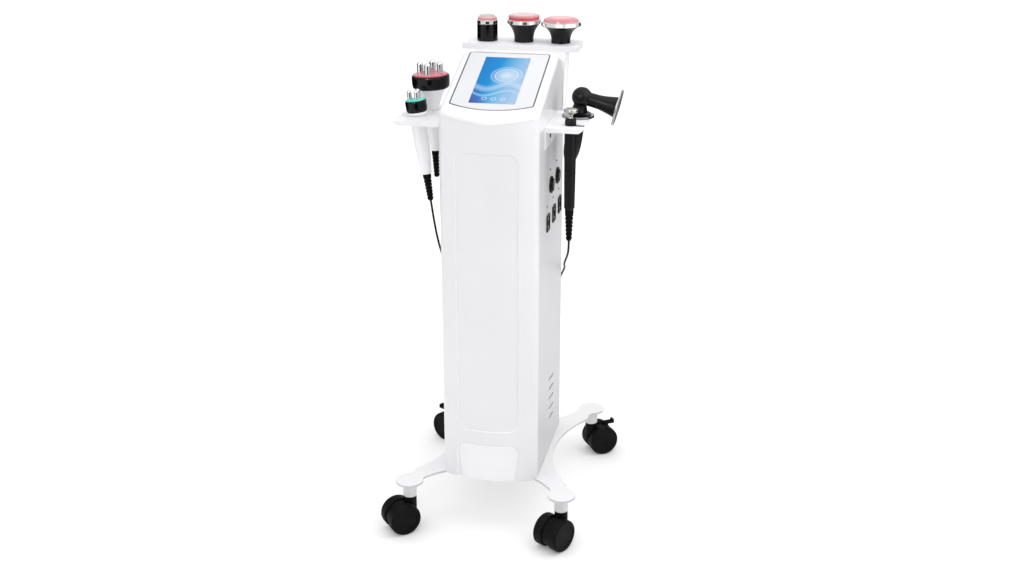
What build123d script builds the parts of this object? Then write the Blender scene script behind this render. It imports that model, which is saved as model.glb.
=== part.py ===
from build123d import *
from math import cos, hypot, pi, radians, sin, tan
import os

# A radio frequency slimming trolley: a slim upright cabinet with a sloping touch
# screen, two side shelves, a rear rack of handpieces and a four-armed caster base.
# Millimetres. X to the viewer's right, the front faces -Y, Z up, floor at z = 0.

# Base plate and casters
wheel_r = 37.5
wheel_w = 24.0
wheel_gap = 18.0
wheel_round = 5.0
wheel_rim = 10.5
hub_recess_depth = 1.2
wheel_face_t = 5.0
axle_r = 4.0
axle_clearance = 0.05
side_clearance = 0.4
caster_trail = 25.0
hood_inset = 4.5
hood_side_gap = 1.0
hood_boss_r = 15.0
hood_boss_h = 9.0
hood_clear = 1.5
hood_headroom = 9.0
stem_r = 5.5
stem_clearance = 0.05
collar_r = 15.5
collar_round = 1.2
plate_t = 6.0
plate_top_z = 124.0
pad_r = 31.5
pad_x = 178.0
pad_front_y = -216.0
pad_rear_y = 251.0
waist_margin = 12.0
waist_y = 12.0
side_scoop_r = 298.0
plate_front_inset = 38.5
front_scoop_r = 183.0
plate_rear_inset = 22.5
rear_scoop_r = 157.0
plate_edge_round = 1.5
arm_fillet = 14.0
headings = {"front_left": -140.0, "front_right": -120.0, "rear_left": 150.0, "rear_right": 32.0}
pedal_side_gap = 1.0
pedal_len = 22.0
pedal_t = 5.0
pedal_pin_r = 2.5
pedal_pivot_lead = 15.0
pedal_pivot_gap = 3.0
pedal_ear_r = 5.0

# Cabinet
cab_w = 220.0
cab_front_y = -158.5
cab_back_y = 158.5
bulge = 32.0
sheet_t = 2.0
corner_round = 20.0
rear_corner_round = 8.0
top_rim = 34.0
back_margin = 12.0
back_low_gap = 26.0
back_high_gap = 68.0
back_ledge = 6.0
cover_t = 3.0
head_skin = 6.0
cover_return = 12.0
seam = 0.4
shoulder_z = 938.0
console_rise = 43.0
console_tilt = 20.0
peak_y = 80.0
rear_drop = 25.8
peak_round = 24.0
head_rear_round = 30.0
fold_round = 12.0
field_margin = 42.0
field_bottom_z = 251.0
field_top_gap = 40.0
field_round = 22.0
field_depth = 2.5
field_slope_share = 0.88
kick_margin = 40.0
kick_top_z = 214.0
kick_round = 20.0
kick_depth = 5.0
kick_slope_share = 0.8

# Screen, measured up the slope from the cabinet's front edge
fascia_margin = 20.0
fascia_start = 34.0
fascia_end_gap = 5.8
fascia_bow = 21.0
fascia_corner = 5.0
gasket_w = 3.0
gasket_drop = 0.6
recess_depth = 4.0
lcd_w = 102.0
lcd_inset = 4.0
lcd_end_gap = 18.0
lcd_drop = 0.4
lcd_gap = 0.3

# Side panel fittings, as y and z of their centres
vent_count = 5
vent_len = 64.0
vent_w = 6.0
vent_pitch = 25.5
vent_y = 26.0
vent_top_z = 304.0
vent_tilt = -9.0
socket_drop = 147.5
socket_y = -10.0
socket_pitch = 80.0
socket_flange_r = 19.0
socket_flange_t = 4.0
socket_nose_r = 14.0
socket_nose_t = 7.0
socket_bore_r = 10.0
socket_bore_depth = 12.0
socket_body_r = 15.0
socket_body_len = 22.0
contact_r = 1.5
contact_len = 7.0
contact_pitch_r = 4.5
outlet_drop = 227.0
outlet_y = -43.0
outlet_pitch = 75.0
outlet_w = 34.0
outlet_h = 38.0
outlet_t = 3.0
outlet_body_depth = 16.0
outlet_body_inset = 3.0
outlet_pocket_w = 22.0
outlet_pocket_h = 29.0
outlet_pocket_depth = 10.0
outlet_pin_r = 3.0
outlet_pin_pitch = 19.0
outlet_pin_len = 9.0
lamp_r = 2.5
lamp_t = 1.2
socket_lamp_rise = 36.5
outlet_lamp_rise = 41.0
socket_lamp_shift = -6.0
outlet_lamp_shift = -11.0

# Shelves
shelf_rise = 0.5
shelf_t = 2.0
shelf_front_y = -91.0
shelf_back_y = 84.0
right_shelf_margin = 6.0
left_shelf_margin = 21.0
shelf_lip = 10.0
shelf_lip_end = 3.0
shelf_flange_h = 49.0
shelf_corner = 6.0
screw_r = 4.0
screw_head_t = 1.6
screw_y_list = (-35.0, 55.0)
screw_drop = 29.5
slot_w = 18.0
ring_band = 12.0
ring_hole_gap = 5.0
ring_t = 5.0
ring_round = 2.0

# Rear rack
rack_rise = 128.0
rack_t = 2.0
rack_end = 49.0
rack_standoff = 25.5
rack_depth = 104.0
rack_lip = 13.0
rack_corner = 22.0
rack_hole_gap = 1.8
rack_row_inset = 51.0
rack_head_gap = 1.6
bracket_inset = 2.0
bracket_drop = 58.0
bracket_bend_rise = 37.0
rack_screw_inset = 13.0
rack_screw_setback = 16.0
rack_screw_r = 2.2

# Back panel fittings and the inside
inlet_w = 48.0
inlet_h = 58.0
inlet_flange_t = 2.5
inlet_depth = 24.0
inlet_wall_gap = 28.0
inlet_z = 190.0
inlet_well_w = 26.0
inlet_well_h = 18.0
inlet_place_share = 0.24
rocker_w = 20.0
rocker_h = 13.0
rocker_t = 6.0
rocker_gap = 0.4
rocker_angle = 8.0
rocker_pin_r = 1.5
rocker_pin_clearance = 0.05
fan_w = 92.0
fan_t = 25.0
fan_wall = 3.0
fan_wall_gap = 17.0
fan_z = 420.0
fan_hub_r = 18.0
fan_shaft_r = 3.0
fan_blade_count = 7
fan_blade_t = 2.0
fan_blade_tip_gap = 1.5
fan_end_gap = 2.0
fan_stay_w = 8.0
guard_slot_w = 6.0
gland_r = 9.0
gland_t = 14.0
gland_hex_r = 12.0
gland_hex_t = 4.0
gland_z = 620.0
gland_reach = 62.0
gland_mouth_share = 0.9
deck_lift = 12.0
deck_t = 3.0
deck_gap = 1.0
deck_foot = 14.0
supply_w = 110.0
supply_d = 170.0
supply_h = 60.0
supply_vent_count = 5
board_t = 2.0
board_w = 150.0
board_h = 220.0
board_z = (300.0, 560.0)
board_y = 60.0
board_part_depth = 22.0
board_rail_w = 10.0

# Handpieces: heights count from the shelf's or rack's top face
fit_gap = 0.3
small_reach = 81.0
small_y = -24.0
small_lean = 7.5
small_grip_r = 17.5
small_grip_len = 135.0
small_hole_gap = 1.5
small_collar_lap = 3.5
small_band_low = 8.0
small_band_high = 34.0
small_band_r = 24.0
small_face_inset = 2.0
small_face_t = 2.2
small_post_count = 3
small_post_r = 5.2
small_post_ring_r = 12.0
small_post_len = 21.0
small_post_turn = 65.0
small_relief_r = 9.5
small_relief_end_r = 6.6
small_relief_len = 63.0
large_reach = 64.0
large_y = 42.0
large_lean = 2.5
large_lift = 1.2
large_grip_r = 13.5
large_grip_len = 97.0
large_hole_gap = 0.8
large_cone_r = 36.0
large_band_low = 48.0
large_band_high = 78.0
large_band_r = 43.0
large_face_inset = 3.0
large_face_t = 2.6
large_post_count = 4
large_post_r = 7.2
large_post_ring_r = 23.0
large_post_len = 27.0
large_post_turn = 0.0
large_relief_r = 8.5
large_relief_end_r = 6.2
large_relief_len = 63.0
face_reach = 50.0
face_y = -53.0
face_base_r = 12.5
face_base_h = 16.5
face_body_r = 13.2
face_body_len = 190.5
face_neck_gap = 1.5
face_cap_r = 15.8
face_cap_h = 22.0
face_relief_r = 9.8
face_relief_end_r = 6.4
face_relief_len = 72.0
ball_reach = 53.0
ball_y = 33.0
ball_lean = -10.0
ball_r = 22.5
ball_z = 45.0
ball_grip_r = 19.0
ball_grip_len = 112.0
ball_collar_lap = 3.5
ball_collar_t = 1.5
ball_neck_r = 15.0
ball_neck_h = 14.0
barrel_drop = 14.5
barrel_start = 14.0
barrel_end = 78.0
barrel_r = 23.2
disc_r = 41.0
disc_hub_r = 14.0
disc_hub_t = 2.5
disc_t = 6.0
rack_grip_r = 20.2
rack_grip_len = 150.0
rack_joint_r = 20.0
rack_joint_t = 1.5
narrow_lap = 2.4
narrow_h = 40.0
narrow_ring_h = 9.0
narrow_lens_inset = 1.9
narrow_lens_h = 11.0
rack_neck_lap = 1.0
raised_r = 37.5
raised_h = 43.0
raised_ring_lap = 1.9
raised_ring_h = 9.0
raised_lens_inset = 3.0
raised_lens_h = 11.5
wide_r = 45.5
wide_h = 40.5
wide_ring_lap = 1.5
wide_ring_h = 9.5
wide_lens_inset = 6.0
wide_lens_h = 9.0
relief_rib_count = 7

# Outlines as radius shares and height shares
small_grip_shares = ((0.66, -1.0), (0.7, -0.93), (0.8, -0.83), (0.9, -0.65), (0.98, -0.37), (1.0, -0.18), (0.98, -0.03))
large_grip_shares = ((0.74, -1.0), (0.84, -0.82), (0.98, -0.41), (1.0, -0.14), (0.98, -0.02))
large_cone_shares = ((-0.008, -0.04), (0.104, 0.125), (0.376, 0.5), (0.729, 0.85), (1.0, 1.0))
band_shares = ((0.91, 0.0), (0.97, 0.12), (1.0, 0.42), (1.0, 0.86), (0.98, 0.95), (0.955, 1.0))
face_plate_shares = ((1.0, 0.0), (1.0, 0.45), (0.94, 1.0))
face_base_shares = ((1.0, 0.02), (1.0, 0.55), (0.88, 0.9), (0.72, 1.0))
face_body_shares = ((0.72, -1.0), (0.89, -0.975), (0.92, -0.79), (0.985, -0.31), (1.0, -0.1), (0.95, -0.03), (0.8, 0.0))
face_cap_shares = ((0.44, 0.0), (0.39, 0.2), (0.47, 0.41), (0.89, 0.55), (1.0, 0.68), (0.98, 0.82), (0.8, 0.93), (0.38, 1.0))
ball_grip_shares = ((0.26, -1.0), (0.66, -0.9), (0.96, -0.7), (1.0, -0.46), (0.95, -0.23))
barrel_shares = ((0.65, 0.0), (0.655, 0.16), (0.69, 0.44), (0.8, 0.69), (1.0, 1.0))
rack_grip_shares = ((0.54, -1.0), (0.67, -0.947), (0.82, -0.73), (0.94, -0.4), (0.99, -0.13), (1.0, -0.007))
narrow_shares = ((0.975, 0.0), (1.0, 0.05), (0.99, 0.95), (0.967, 1.0))
narrow_ring_shares = ((0.98, 0.0), (0.99, 0.1), (0.985, 0.85), (0.94, 1.0))
narrow_lens_shares = ((1.0, 0.0), (0.99, 0.5), (0.91, 0.63), (0.8, 0.9), (0.73, 1.0))
raised_shares = ((0.0, 0.0), (0.017, 0.32), (0.24, 0.6), (0.724, 0.88), (1.0, 1.0))
ring_shares = ((0.98, 0.0), (1.0, 0.16), (0.98, 0.88), (0.94, 1.0))
raised_lens_shares = ((0.989, 0.0), (1.0, 0.61), (0.96, 0.87), (0.82, 1.0))
wide_shares = ((0.0, 0.0), (0.01, 0.34), (0.222, 0.64), (0.667, 0.89), (1.0, 1.0))
wide_ring_shares = ((0.987, 0.0), (1.0, 0.16), (0.957, 0.84), (0.894, 1.0))
wide_lens_shares = ((1.0, 0.0), (0.975, 0.5), (0.83, 0.83), (0.49, 1.0))
disc_shares = ((1.0, 0.0), (1.0, 0.45), (0.95, 0.7), (0.29, 1.0))
board_part_shares = ((-0.22, 0.25, 0.35, 0.22), (0.22, 0.7, 0.3, 0.25), (-0.2, 0.65, 0.25, 0.18))
rib_share = 0.8
rib_land_share = 0.6
post_tip_share = 0.85

# Free cords
cord_d = 5.0
small_cord_route = (
    (-165.1, -24.0, 741.8), (-157.4, -24.0, 683.3), (-148.0, -14.0, 622.0), (-139.0, 14.0, 566.0),
    (-133.0, 58.0, 520.0), (-130.0, 108.0, 480.0), (-128.0, 156.0, 444.0), (-117.0, 192.0, 402.0),
    (-108.0, 210.0, 358.0), (-100.0, 214.0, 318.0), (-92.0, 214.5, 289.0), (-79.0, 214.0, 271.0),
    (-62.0, 214.5, 266.0), (-47.0, 214.0, 276.0), (-40.0, 214.5, 297.0), (-38.0, 214.0, 334.0),
    (-39.0, 214.5, 390.0), (-42.0, 214.0, 448.0), (-46.0, 214.5, 506.0), (-52.0, 214.0, 558.0),
    (-57.5, 214.5, 590.0), (-60.5, 209.0, 609.0), (-62.0, 195.0, 620.0), (-62.0, 176.5, 620.0))
face_cord_route = (
    (160.0, -53.0, 675.6), (160.0, -53.0, 653.0), (152.0, -22.0, 628.0), (140.5, 18.0, 601.0),
    (130.0, 72.0, 575.0), (122.0, 124.0, 555.0), (116.5, 166.0, 533.0), (101.0, 194.0, 500.0),
    (89.0, 209.0, 458.0), (81.0, 214.0, 412.0), (73.0, 214.5, 372.0), (63.0, 214.0, 345.0),
    (49.0, 214.5, 331.0), (32.0, 214.0, 332.0), (20.0, 214.5, 346.0), (16.0, 214.0, 371.0),
    (16.5, 214.5, 420.0), (21.0, 214.0, 474.0), (29.0, 214.5, 524.0), (41.0, 214.0, 566.0),
    (51.5, 214.5, 594.0), (59.0, 208.5, 611.0), (62.0, 195.0, 620.0), (62.0, 176.5, 620.0))

# Derived sizes
overrun = 60.0
front_r = ((cab_w / 2) ** 2 + bulge ** 2) / (2 * bulge)
front_centre_y = cab_front_y - bulge + front_r
plate_bottom_z = plate_top_z - plate_t
waist_half_w = cab_w / 2 + waist_margin
plate_front_y = cab_front_y + plate_front_inset
plate_rear_y = cab_back_y - plate_rear_inset
hub_recess_r = wheel_r - wheel_rim
hood_r = wheel_r - hood_inset
hood_w = wheel_gap - 2 * hood_side_gap
hood_top_z = 2 * wheel_r + hood_headroom
pedal_w = hood_w - 2 * pedal_side_gap
pedal_pivot_reach = caster_trail + pedal_pivot_lead
pedal_pivot_z = wheel_r + hood_r + pedal_pivot_gap
pedal_reach = pedal_pivot_reach + pedal_len
rise = tan(radians(console_tilt))
console_z = shoulder_z + console_rise
peak_z = console_z + (peak_y - cab_front_y) * rise
rear_top_z = peak_z - rear_drop
field_w = cab_w - 2 * field_margin
field_top_z = shoulder_z - field_top_gap
kick_w = cab_w - 2 * kick_margin
fascia_w = cab_w - 2 * fascia_margin
slope_len = (peak_y - cab_front_y) / cos(radians(console_tilt))
fascia_len = slope_len - fascia_start - fascia_end_gap
lcd_start = fascia_start + lcd_inset
lcd_len = fascia_len - lcd_inset - lcd_end_gap
socket_z = shoulder_z - socket_drop
outlet_z = shoulder_z - outlet_drop
small_x = -cab_w / 2 - small_reach
large_x = -cab_w / 2 - large_reach
face_x = cab_w / 2 + face_reach
ball_x = cab_w / 2 + ball_reach
ring_hole_r = ball_grip_r + ring_hole_gap
ring_r = ring_hole_r + ring_band
shelf_z = shoulder_z + shelf_rise
screw_z = shelf_z - screw_drop
right_shelf_w = ball_reach + ring_hole_r + right_shelf_margin
left_shelf_w = small_reach + small_grip_r + small_hole_gap + left_shelf_margin
rack_z = shoulder_z + rack_rise
rack_hole_r = rack_grip_r + rack_hole_gap
rack_neck_r = rack_hole_r + rack_neck_lap
narrow_r = rack_hole_r + narrow_lap
raised_ring_r = raised_r + raised_ring_lap
wide_ring_r = wide_r + wide_ring_lap
rack_pitch = raised_ring_r + wide_ring_r + rack_head_gap
rack_half_w = rack_pitch + rack_end
rack_front_y = cab_back_y + rack_standoff
rack_back_y = rack_front_y + rack_depth
rack_row_y = rack_front_y + rack_row_inset
bracket_w = cab_w - 2 * bracket_inset
bracket_bottom_z = shoulder_z - bracket_drop
bracket_bend_z = shoulder_z + bracket_bend_rise
inlet_x = -cab_w / 2 + inlet_wall_gap + inlet_w / 2
rocker_z = inlet_h * inlet_place_share
fan_bore_r = fan_w / 2 - fan_wall
fan_x = cab_w / 2 - sheet_t - fan_wall_gap - fan_w / 2
gland_x = {"small": -gland_reach, "face": gland_reach}
deck_z = plate_top_z + deck_lift
small_collar_r = small_grip_r + small_hole_gap + small_collar_lap
ball_collar_r = ring_hole_r + ball_collar_lap


def span(x0, x1, y0, y1, z0, z1):
    """A box between two corners."""
    return Pos((x0 + x1) / 2, (y0 + y1) / 2, (z0 + z1) / 2) * Box(x1 - x0, y1 - y0, z1 - z0)


def tube(radius, z0, z1, x=0, y=0):
    """A vertical cylinder from z0 to z1."""
    return Pos(x, y, (z0 + z1) / 2) * Cylinder(radius, z1 - z0)


def turned(profile):
    """A solid turned about Z from (radius, z) points joined by straight lines."""
    points = [(0, profile[0][1])] + list(profile) + [(0, profile[-1][1])]
    face = make_face(Polyline(*points, close=True))
    return revolve(Plane.XZ * face, Axis.Z)


def turned_smooth(profile):
    """A solid turned about Z whose side is one smooth curve through (radius, z) points."""
    side = Spline(*profile)
    top = Line(profile[-1], (0, profile[-1][1]))
    back = Line((0, profile[-1][1]), (0, profile[0][1]))
    bottom = Line((0, profile[0][1]), profile[0])
    return revolve(Plane.XZ * make_face([side, top, back, bottom]), Axis.Z)


def outline(shares, radius, height, base=0):
    """Points of an outline from its shares of a radius and a height."""
    return [(a * radius, base + b * height) for a, b in shares]


def flared(shares, neck, radius, height, base=0):
    """Points of a flare from its shares of the way from a neck to a radius, and of a height."""
    return [(neck + a * (radius - neck), base + b * height) for a, b in shares]


def bulged(inset, z0, z1, back_y):
    """The cabinet's plan, set in by a wall, from z0 to z1 and back to back_y."""
    half = cab_w / 2 - inset
    radius = front_r - inset
    side_y = front_centre_y - (radius ** 2 - half ** 2) ** 0.5
    nose_y = front_centre_y - radius
    deep_y = cab_back_y + overrun
    outline = make_face([
        ThreePointArc((-half, side_y), (0, nose_y), (half, side_y)), Line((half, side_y), (half, deep_y)),
        Line((half, deep_y), (-half, deep_y)), Line((-half, deep_y), (-half, side_y))])
    front = outline.vertices().sort_by(Axis.Y)[:2]
    outline = fillet(front, max(corner_round - inset, seam))
    body = Pos(0, 0, z0) * extrude(outline, amount=z1 - z0)
    return body & span(-cab_w, cab_w, nose_y - overrun, back_y, z0, z1)


def under_console(drop):
    """Everything that lies below the console slope, dropped by a wall."""
    low = -overrun
    y0 = cab_front_y - bulge - overrun
    y1 = cab_back_y + overrun
    z_at = lambda y: console_z + (y - cab_front_y) * rise - drop
    face = Plane.YZ * make_face(Polyline((y0, low), (y0, z_at(y0)), (y1, z_at(y1)), (y1, low), close=True))
    return extrude(face, amount=cab_w, both=True)


# Base: a laser-cut steel spider with round pads


def make_base_plate():
    deep = plate_t
    blank = span(-pad_x, pad_x, pad_front_y, pad_rear_y, plate_bottom_z, plate_top_z)
    for side in (-1, 1):
        blank -= tube(side_scoop_r, plate_bottom_z - deep, plate_top_z + deep, side * (waist_half_w + side_scoop_r), waist_y)
    blank -= tube(front_scoop_r, plate_bottom_z - deep, plate_top_z + deep, 0, plate_front_y - front_scoop_r)
    blank -= tube(rear_scoop_r, plate_bottom_z - deep, plate_top_z + deep, 0, plate_rear_y + rear_scoop_r)
    for x, y in pad_places().values():
        blank += tube(pad_r, plate_bottom_z, plate_top_z, x, y)
    blank = blank.clean()
    joints = [e for e in blank.edges().filter_by(Axis.Z) if beside_pad(e.center())]
    blank = fillet(joints, arm_fillet)
    rim = blank.faces().sort_by(Axis.Z)[-1].outer_wire().edges()
    blank = fillet(rim, plate_edge_round)
    for x, y in pad_places().values():
        blank -= tube(stem_r + stem_clearance, plate_bottom_z - deep, plate_bottom_z + plate_t / 2, x, y)
    return blank


def beside_pad(point):
    """Whether a corner of the plate's outline lies on a pad's edge."""
    return any(abs(hypot(point.X - x, point.Y - y) - pad_r) < seam for x, y in pad_places().values())


def pad_places():
    return {
        "front_left": (-pad_x, pad_front_y), "front_right": (pad_x, pad_front_y),
        "rear_left": (-pad_x, pad_rear_y), "rear_right": (pad_x, pad_rear_y),
    }


def make_collars():
    parts = []
    for x, y in pad_places().values():
        collar = tube(collar_r, hood_top_z, plate_bottom_z, x, y)
        lower = collar.faces().sort_by(Axis.Z)[0].outer_wire().edges()
        collar = fillet(lower, collar_round)
        parts.append(collar - tube(stem_r + stem_clearance, hood_top_z - plate_t, plate_bottom_z + plate_t, x, y))
    return Compound(parts)


def caster_place(corner):
    """A caster's frame: origin on the floor under the stem, X along the trail."""
    x, y = pad_places()[corner]
    return Pos(x, y, 0) * Rot(0, 0, headings[corner])


def make_hood(corner):
    web_y = hood_w / 2
    disc = Pos(caster_trail, 0, wheel_r) * Rot(90, 0, 0) * Cylinder(hood_r, hood_w)
    neck = tube(hood_boss_r, wheel_r, hood_top_z - hood_boss_h)
    for side in (-1, 1):
        room = Pos(caster_trail, side * (hood_w / 2 + overrun / 2), wheel_r) * Rot(90, 0, 0)
        neck -= room * Cylinder(wheel_r + hood_clear, overrun)
    boss = tube(hood_boss_r, hood_top_z - hood_boss_h, hood_top_z - fit_gap)
    stem = tube(stem_r, hood_top_z - hood_boss_h, plate_bottom_z + plate_t / 2 - fit_gap)
    axle_len = wheel_gap + 2 * (wheel_w - wheel_face_t)
    axle = Pos(caster_trail, 0, wheel_r) * Rot(90, 0, 0) * Cylinder(axle_r, axle_len - 2 * side_clearance)
    hood = disc + neck + boss + stem + axle
    if corner.startswith("rear"):
        ear = Pos(pedal_pivot_reach, 0, pedal_pivot_z) * Rot(90, 0, 0) * Cylinder(pedal_ear_r, hood_w / 2)
        ear += span(pedal_pivot_reach - pedal_ear_r, pedal_pivot_reach + pedal_ear_r, -hood_w / 4, hood_w / 4,
                    wheel_r, pedal_pivot_z)
        pin = Pos(pedal_pivot_reach, 0, pedal_pivot_z) * Rot(90, 0, 0) * Cylinder(pedal_pin_r, pedal_w)
        hood = hood + ear + pin
    return caster_place(corner) * hood


def make_wheels(corner):
    pair = []
    for side in (-1, 1):
        wheel = Cylinder(wheel_r, wheel_w)
        wheel = fillet(wheel.edges().filter_by(GeomType.CIRCLE), wheel_round)
        wheel -= Pos(0, 0, wheel_w / 2) * Cylinder(hub_recess_r, 2 * hub_recess_depth)
        wheel -= Pos(0, 0, -wheel_face_t) * Cylinder(axle_r + axle_clearance, wheel_w)
        offset = side * (wheel_gap + wheel_w) / 2
        turn = Rot(-90, 0, 0) if side > 0 else Rot(90, 0, 0)
        pair.append(caster_place(corner) * Pos(caster_trail, offset, wheel_r) * turn * wheel)
    return Compound(pair)


def make_pedal(corner):
    cheek_y = pedal_w / 2
    ear = Pos(pedal_pivot_reach, 0, pedal_pivot_z) * Rot(90, 0, 0) * Cylinder(pedal_ear_r, pedal_w)
    top_z = pedal_pivot_z + pedal_ear_r
    bar = span(pedal_pivot_reach, pedal_reach, -cheek_y, cheek_y, top_z - pedal_t, top_z)
    lip = span(pedal_reach - pedal_t, pedal_reach, -cheek_y, cheek_y, top_z - pedal_t, top_z + pedal_t)
    lever = ear + bar + lip
    gap = hood_w / 4 + fit_gap
    lever -= Pos(pedal_pivot_reach, 0, pedal_pivot_z) * Rot(90, 0, 0) * Cylinder(hood_boss_r, 2 * gap)
    lever -= Pos(pedal_pivot_reach, 0, pedal_pivot_z) * Rot(90, 0, 0) * Cylinder(pedal_pin_r + axle_clearance, 2 * pedal_w)
    return caster_place(corner) * lever


# Cabinet: folded sheet body, moulded front and moulded console


def make_cabinet_shell():
    half = cab_w / 2
    join_y = cab_front_y + cover_return
    outer = span(-half, half, join_y + seam, cab_back_y, plate_top_z, shoulder_z)
    back_edges = outer.edges().filter_by(Axis.Z).sort_by(Axis.Y)[-2:]
    outer = fillet(back_edges, rear_corner_round)
    inner = span(-half + sheet_t, half - sheet_t, join_y - seam, cab_back_y - sheet_t,
                 plate_top_z + sheet_t, shoulder_z + overrun)
    shell = outer - inner
    well_y = cab_back_y - top_rim
    shell += (outer & span(-half, half, -well_y, cab_back_y, shoulder_z - sheet_t, shoulder_z)) - span(
        -half + top_rim, half - top_rim, -well_y + top_rim, well_y, shoulder_z - 2 * sheet_t, shoulder_z + sheet_t)
    for i in range(vent_count):
        slot = SlotOverall(vent_len, vent_w)
        place = Pos(half, vent_y, vent_top_z - i * vent_pitch) * Rot(0, 90, 0) * Rot(0, 0, 90 + vent_tilt)
        shell -= place * extrude(slot, amount=sheet_t * 2, both=True)
    for i in range(2):
        shell -= side_bore(socket_y + i * socket_pitch, socket_z, socket_body_r + seam)
    body = outlet_w / 2 - outlet_body_inset + seam
    tall = outlet_h / 2 - outlet_body_inset + seam
    for i in range(3):
        y = outlet_y + i * outlet_pitch
        shell -= span(half - 2 * sheet_t, half + sheet_t, y - body, y + body, outlet_z - tall, outlet_z + tall)
    shell += back_window(back_ledge, 2 * sheet_t, -sheet_t) - back_window(-back_ledge, 3 * sheet_t, 0)
    return shell - back_window(0, sheet_t, sheet_t)


def back_window(grow, inner, outer):
    """The back opening, grown by a margin, from a depth inside the back to a height outside it."""
    half = cab_w / 2 - back_margin + grow
    return span(-half, half, cab_back_y - inner, cab_back_y + outer,
                plate_top_z + back_low_gap - grow, shoulder_z - back_high_gap + grow)


def make_back_panel():
    panel = back_window(-fit_gap, sheet_t, 0)
    well = inlet_w / 2 - outlet_body_inset + seam
    high = inlet_h / 2 - outlet_body_inset + seam
    panel -= span(inlet_x - well, inlet_x + well, cab_back_y - 2 * sheet_t, cab_back_y + sheet_t,
                  inlet_z - high, inlet_z + high)
    for x in gland_x.values():
        panel -= Pos(x, cab_back_y, gland_z) * Rot(90, 0, 0) * Cylinder(gland_r / 2 + seam, 4 * sheet_t)
    rows = int(fan_bore_r / guard_slot_w / 2)
    for i in range(-rows, rows + 1):
        height = 2 * i * guard_slot_w
        length = 2 * (fan_bore_r ** 2 - height ** 2) ** 0.5
        slot = SlotOverall(max(length, 2 * guard_slot_w), guard_slot_w)
        place = Pos(fan_x, cab_back_y, fan_z + height) * Rot(90, 0, 0)
        panel -= place * extrude(slot, amount=2 * sheet_t, both=True)
    return panel


def side_bore(y, z, radius):
    return Pos(cab_w / 2, y, z) * Rot(0, 90, 0) * Cylinder(radius, 4 * sheet_t)


def front_panel_cut(width, z0, z1, radius, depth):
    """A recess of even depth in the bulged front, with rounded corners."""
    skin = bulged(-sheet_t, z0, z1, cab_front_y + cover_return) - bulged(depth, z0 - overrun, z1 + overrun, cab_back_y)
    window = span(-width / 2, width / 2, cab_front_y - bulge - overrun, cab_front_y, z0, z1)
    window = fillet(window.edges().filter_by(Axis.Y), radius)
    return skin & window


def on_skin(edge, width, z0, z1):
    """Whether an edge lies on the bulged front, inside a window."""
    point = edge.position_at(0.5)
    deep = abs(hypot(point.X, point.Y - front_centre_y) - front_r)
    return deep < seam / 4 and abs(point.X) < width / 2 + seam and z0 - seam < point.Z < z1 + seam


def make_front_cover():
    back_y = cab_front_y + cover_return
    block = bulged(0, plate_top_z, console_z, back_y)
    block = block & under_console(head_skin + seam)
    wall = cover_t + kick_depth
    hollow = bulged(wall, plate_top_z + cover_t, console_z, back_y + overrun)
    block -= hollow & under_console(head_skin + wall + seam)
    block -= front_panel_cut(field_w, field_bottom_z, field_top_z, field_round, field_depth)
    rim = [e for e in block.edges() if on_skin(e, field_w, field_bottom_z, field_top_z)]
    block = chamfer(rim, field_depth * field_slope_share)
    block -= front_panel_cut(kick_w, plate_top_z - kick_top_z, kick_top_z, kick_round, kick_depth)
    rim = [e for e in block.edges() if on_skin(e, kick_w, plate_top_z + seam, kick_top_z)]
    return chamfer(rim, kick_depth * kick_slope_share)


def make_head_cover():
    block = bulged(0, shoulder_z + seam, peak_z + overrun, cab_back_y)
    y0 = cab_front_y - bulge - overrun
    low = shoulder_z - overrun
    front_z = console_z + (y0 - cab_front_y) * rise
    profile = Polyline((y0, low), (y0, front_z), (peak_y, peak_z), (cab_back_y + overrun, rear_top_z - overrun / 2),
                       (cab_back_y + overrun, low), close=True)
    wedge = extrude(Plane.YZ * make_face(profile), amount=cab_w, both=True)
    peak = [e for e in wedge.edges().filter_by(Axis.X) if abs(e.center().Z - peak_z) < seam]
    wedge = fillet(peak, peak_round)
    rear = block.edges().filter_by(Axis.Z).sort_by(Axis.Y)[-2:]
    block = fillet(rear, head_rear_round)
    block = block & wedge
    rim = [e for e in block.edges() if e.bounding_box().min.Z > shoulder_z + head_skin]
    block = fillet(rim, fold_round)
    hollow = bulged(cover_t, shoulder_z - overrun, peak_z + overrun, cab_back_y - cover_t) & (Pos(0, 0, -head_skin) * wedge)
    block -= hollow
    block -= span(-cab_w, cab_w, cab_front_y - bulge - overrun, cab_front_y + cover_return,
                  shoulder_z - overrun, console_z + overrun) & under_console(head_skin)
    return block - screen_prism(gasket_w, -recess_depth, overrun)


def slope_plane(up):
    """The console's plane, lifted square to itself."""
    base = Plane(origin=(0, cab_front_y, console_z), x_dir=(1, 0, 0),
                 z_dir=(0, -sin(radians(console_tilt)), cos(radians(console_tilt))))
    return base.offset(up)


def screen_prism(margin, low, high):
    """The fascia's outline, grown by a margin, between two heights off the slope."""
    half = fascia_w / 2 + margin
    start = fascia_start - margin
    end = fascia_start + fascia_len + margin
    outline = make_face([
        ThreePointArc((-half, start), (0, start - fascia_bow), (half, start)),
        Line((half, start), (half, end)), Line((half, end), (-half, end)), Line((-half, end), (-half, start))])
    outline = fillet(outline.vertices(), fascia_corner + margin)
    return extrude(slope_plane(low) * outline, amount=high - low)


def lcd_prism(margin, low, high):
    sketch = Pos(0, lcd_start + lcd_len / 2) * Rectangle(lcd_w + 2 * margin, lcd_len + 2 * margin)
    return extrude(slope_plane(low) * sketch, amount=high - low)


def make_gasket():
    floor = -recess_depth
    return screen_prism(gasket_w - lcd_gap, floor, -gasket_drop) - screen_prism(0, floor - overrun, overrun)


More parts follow.
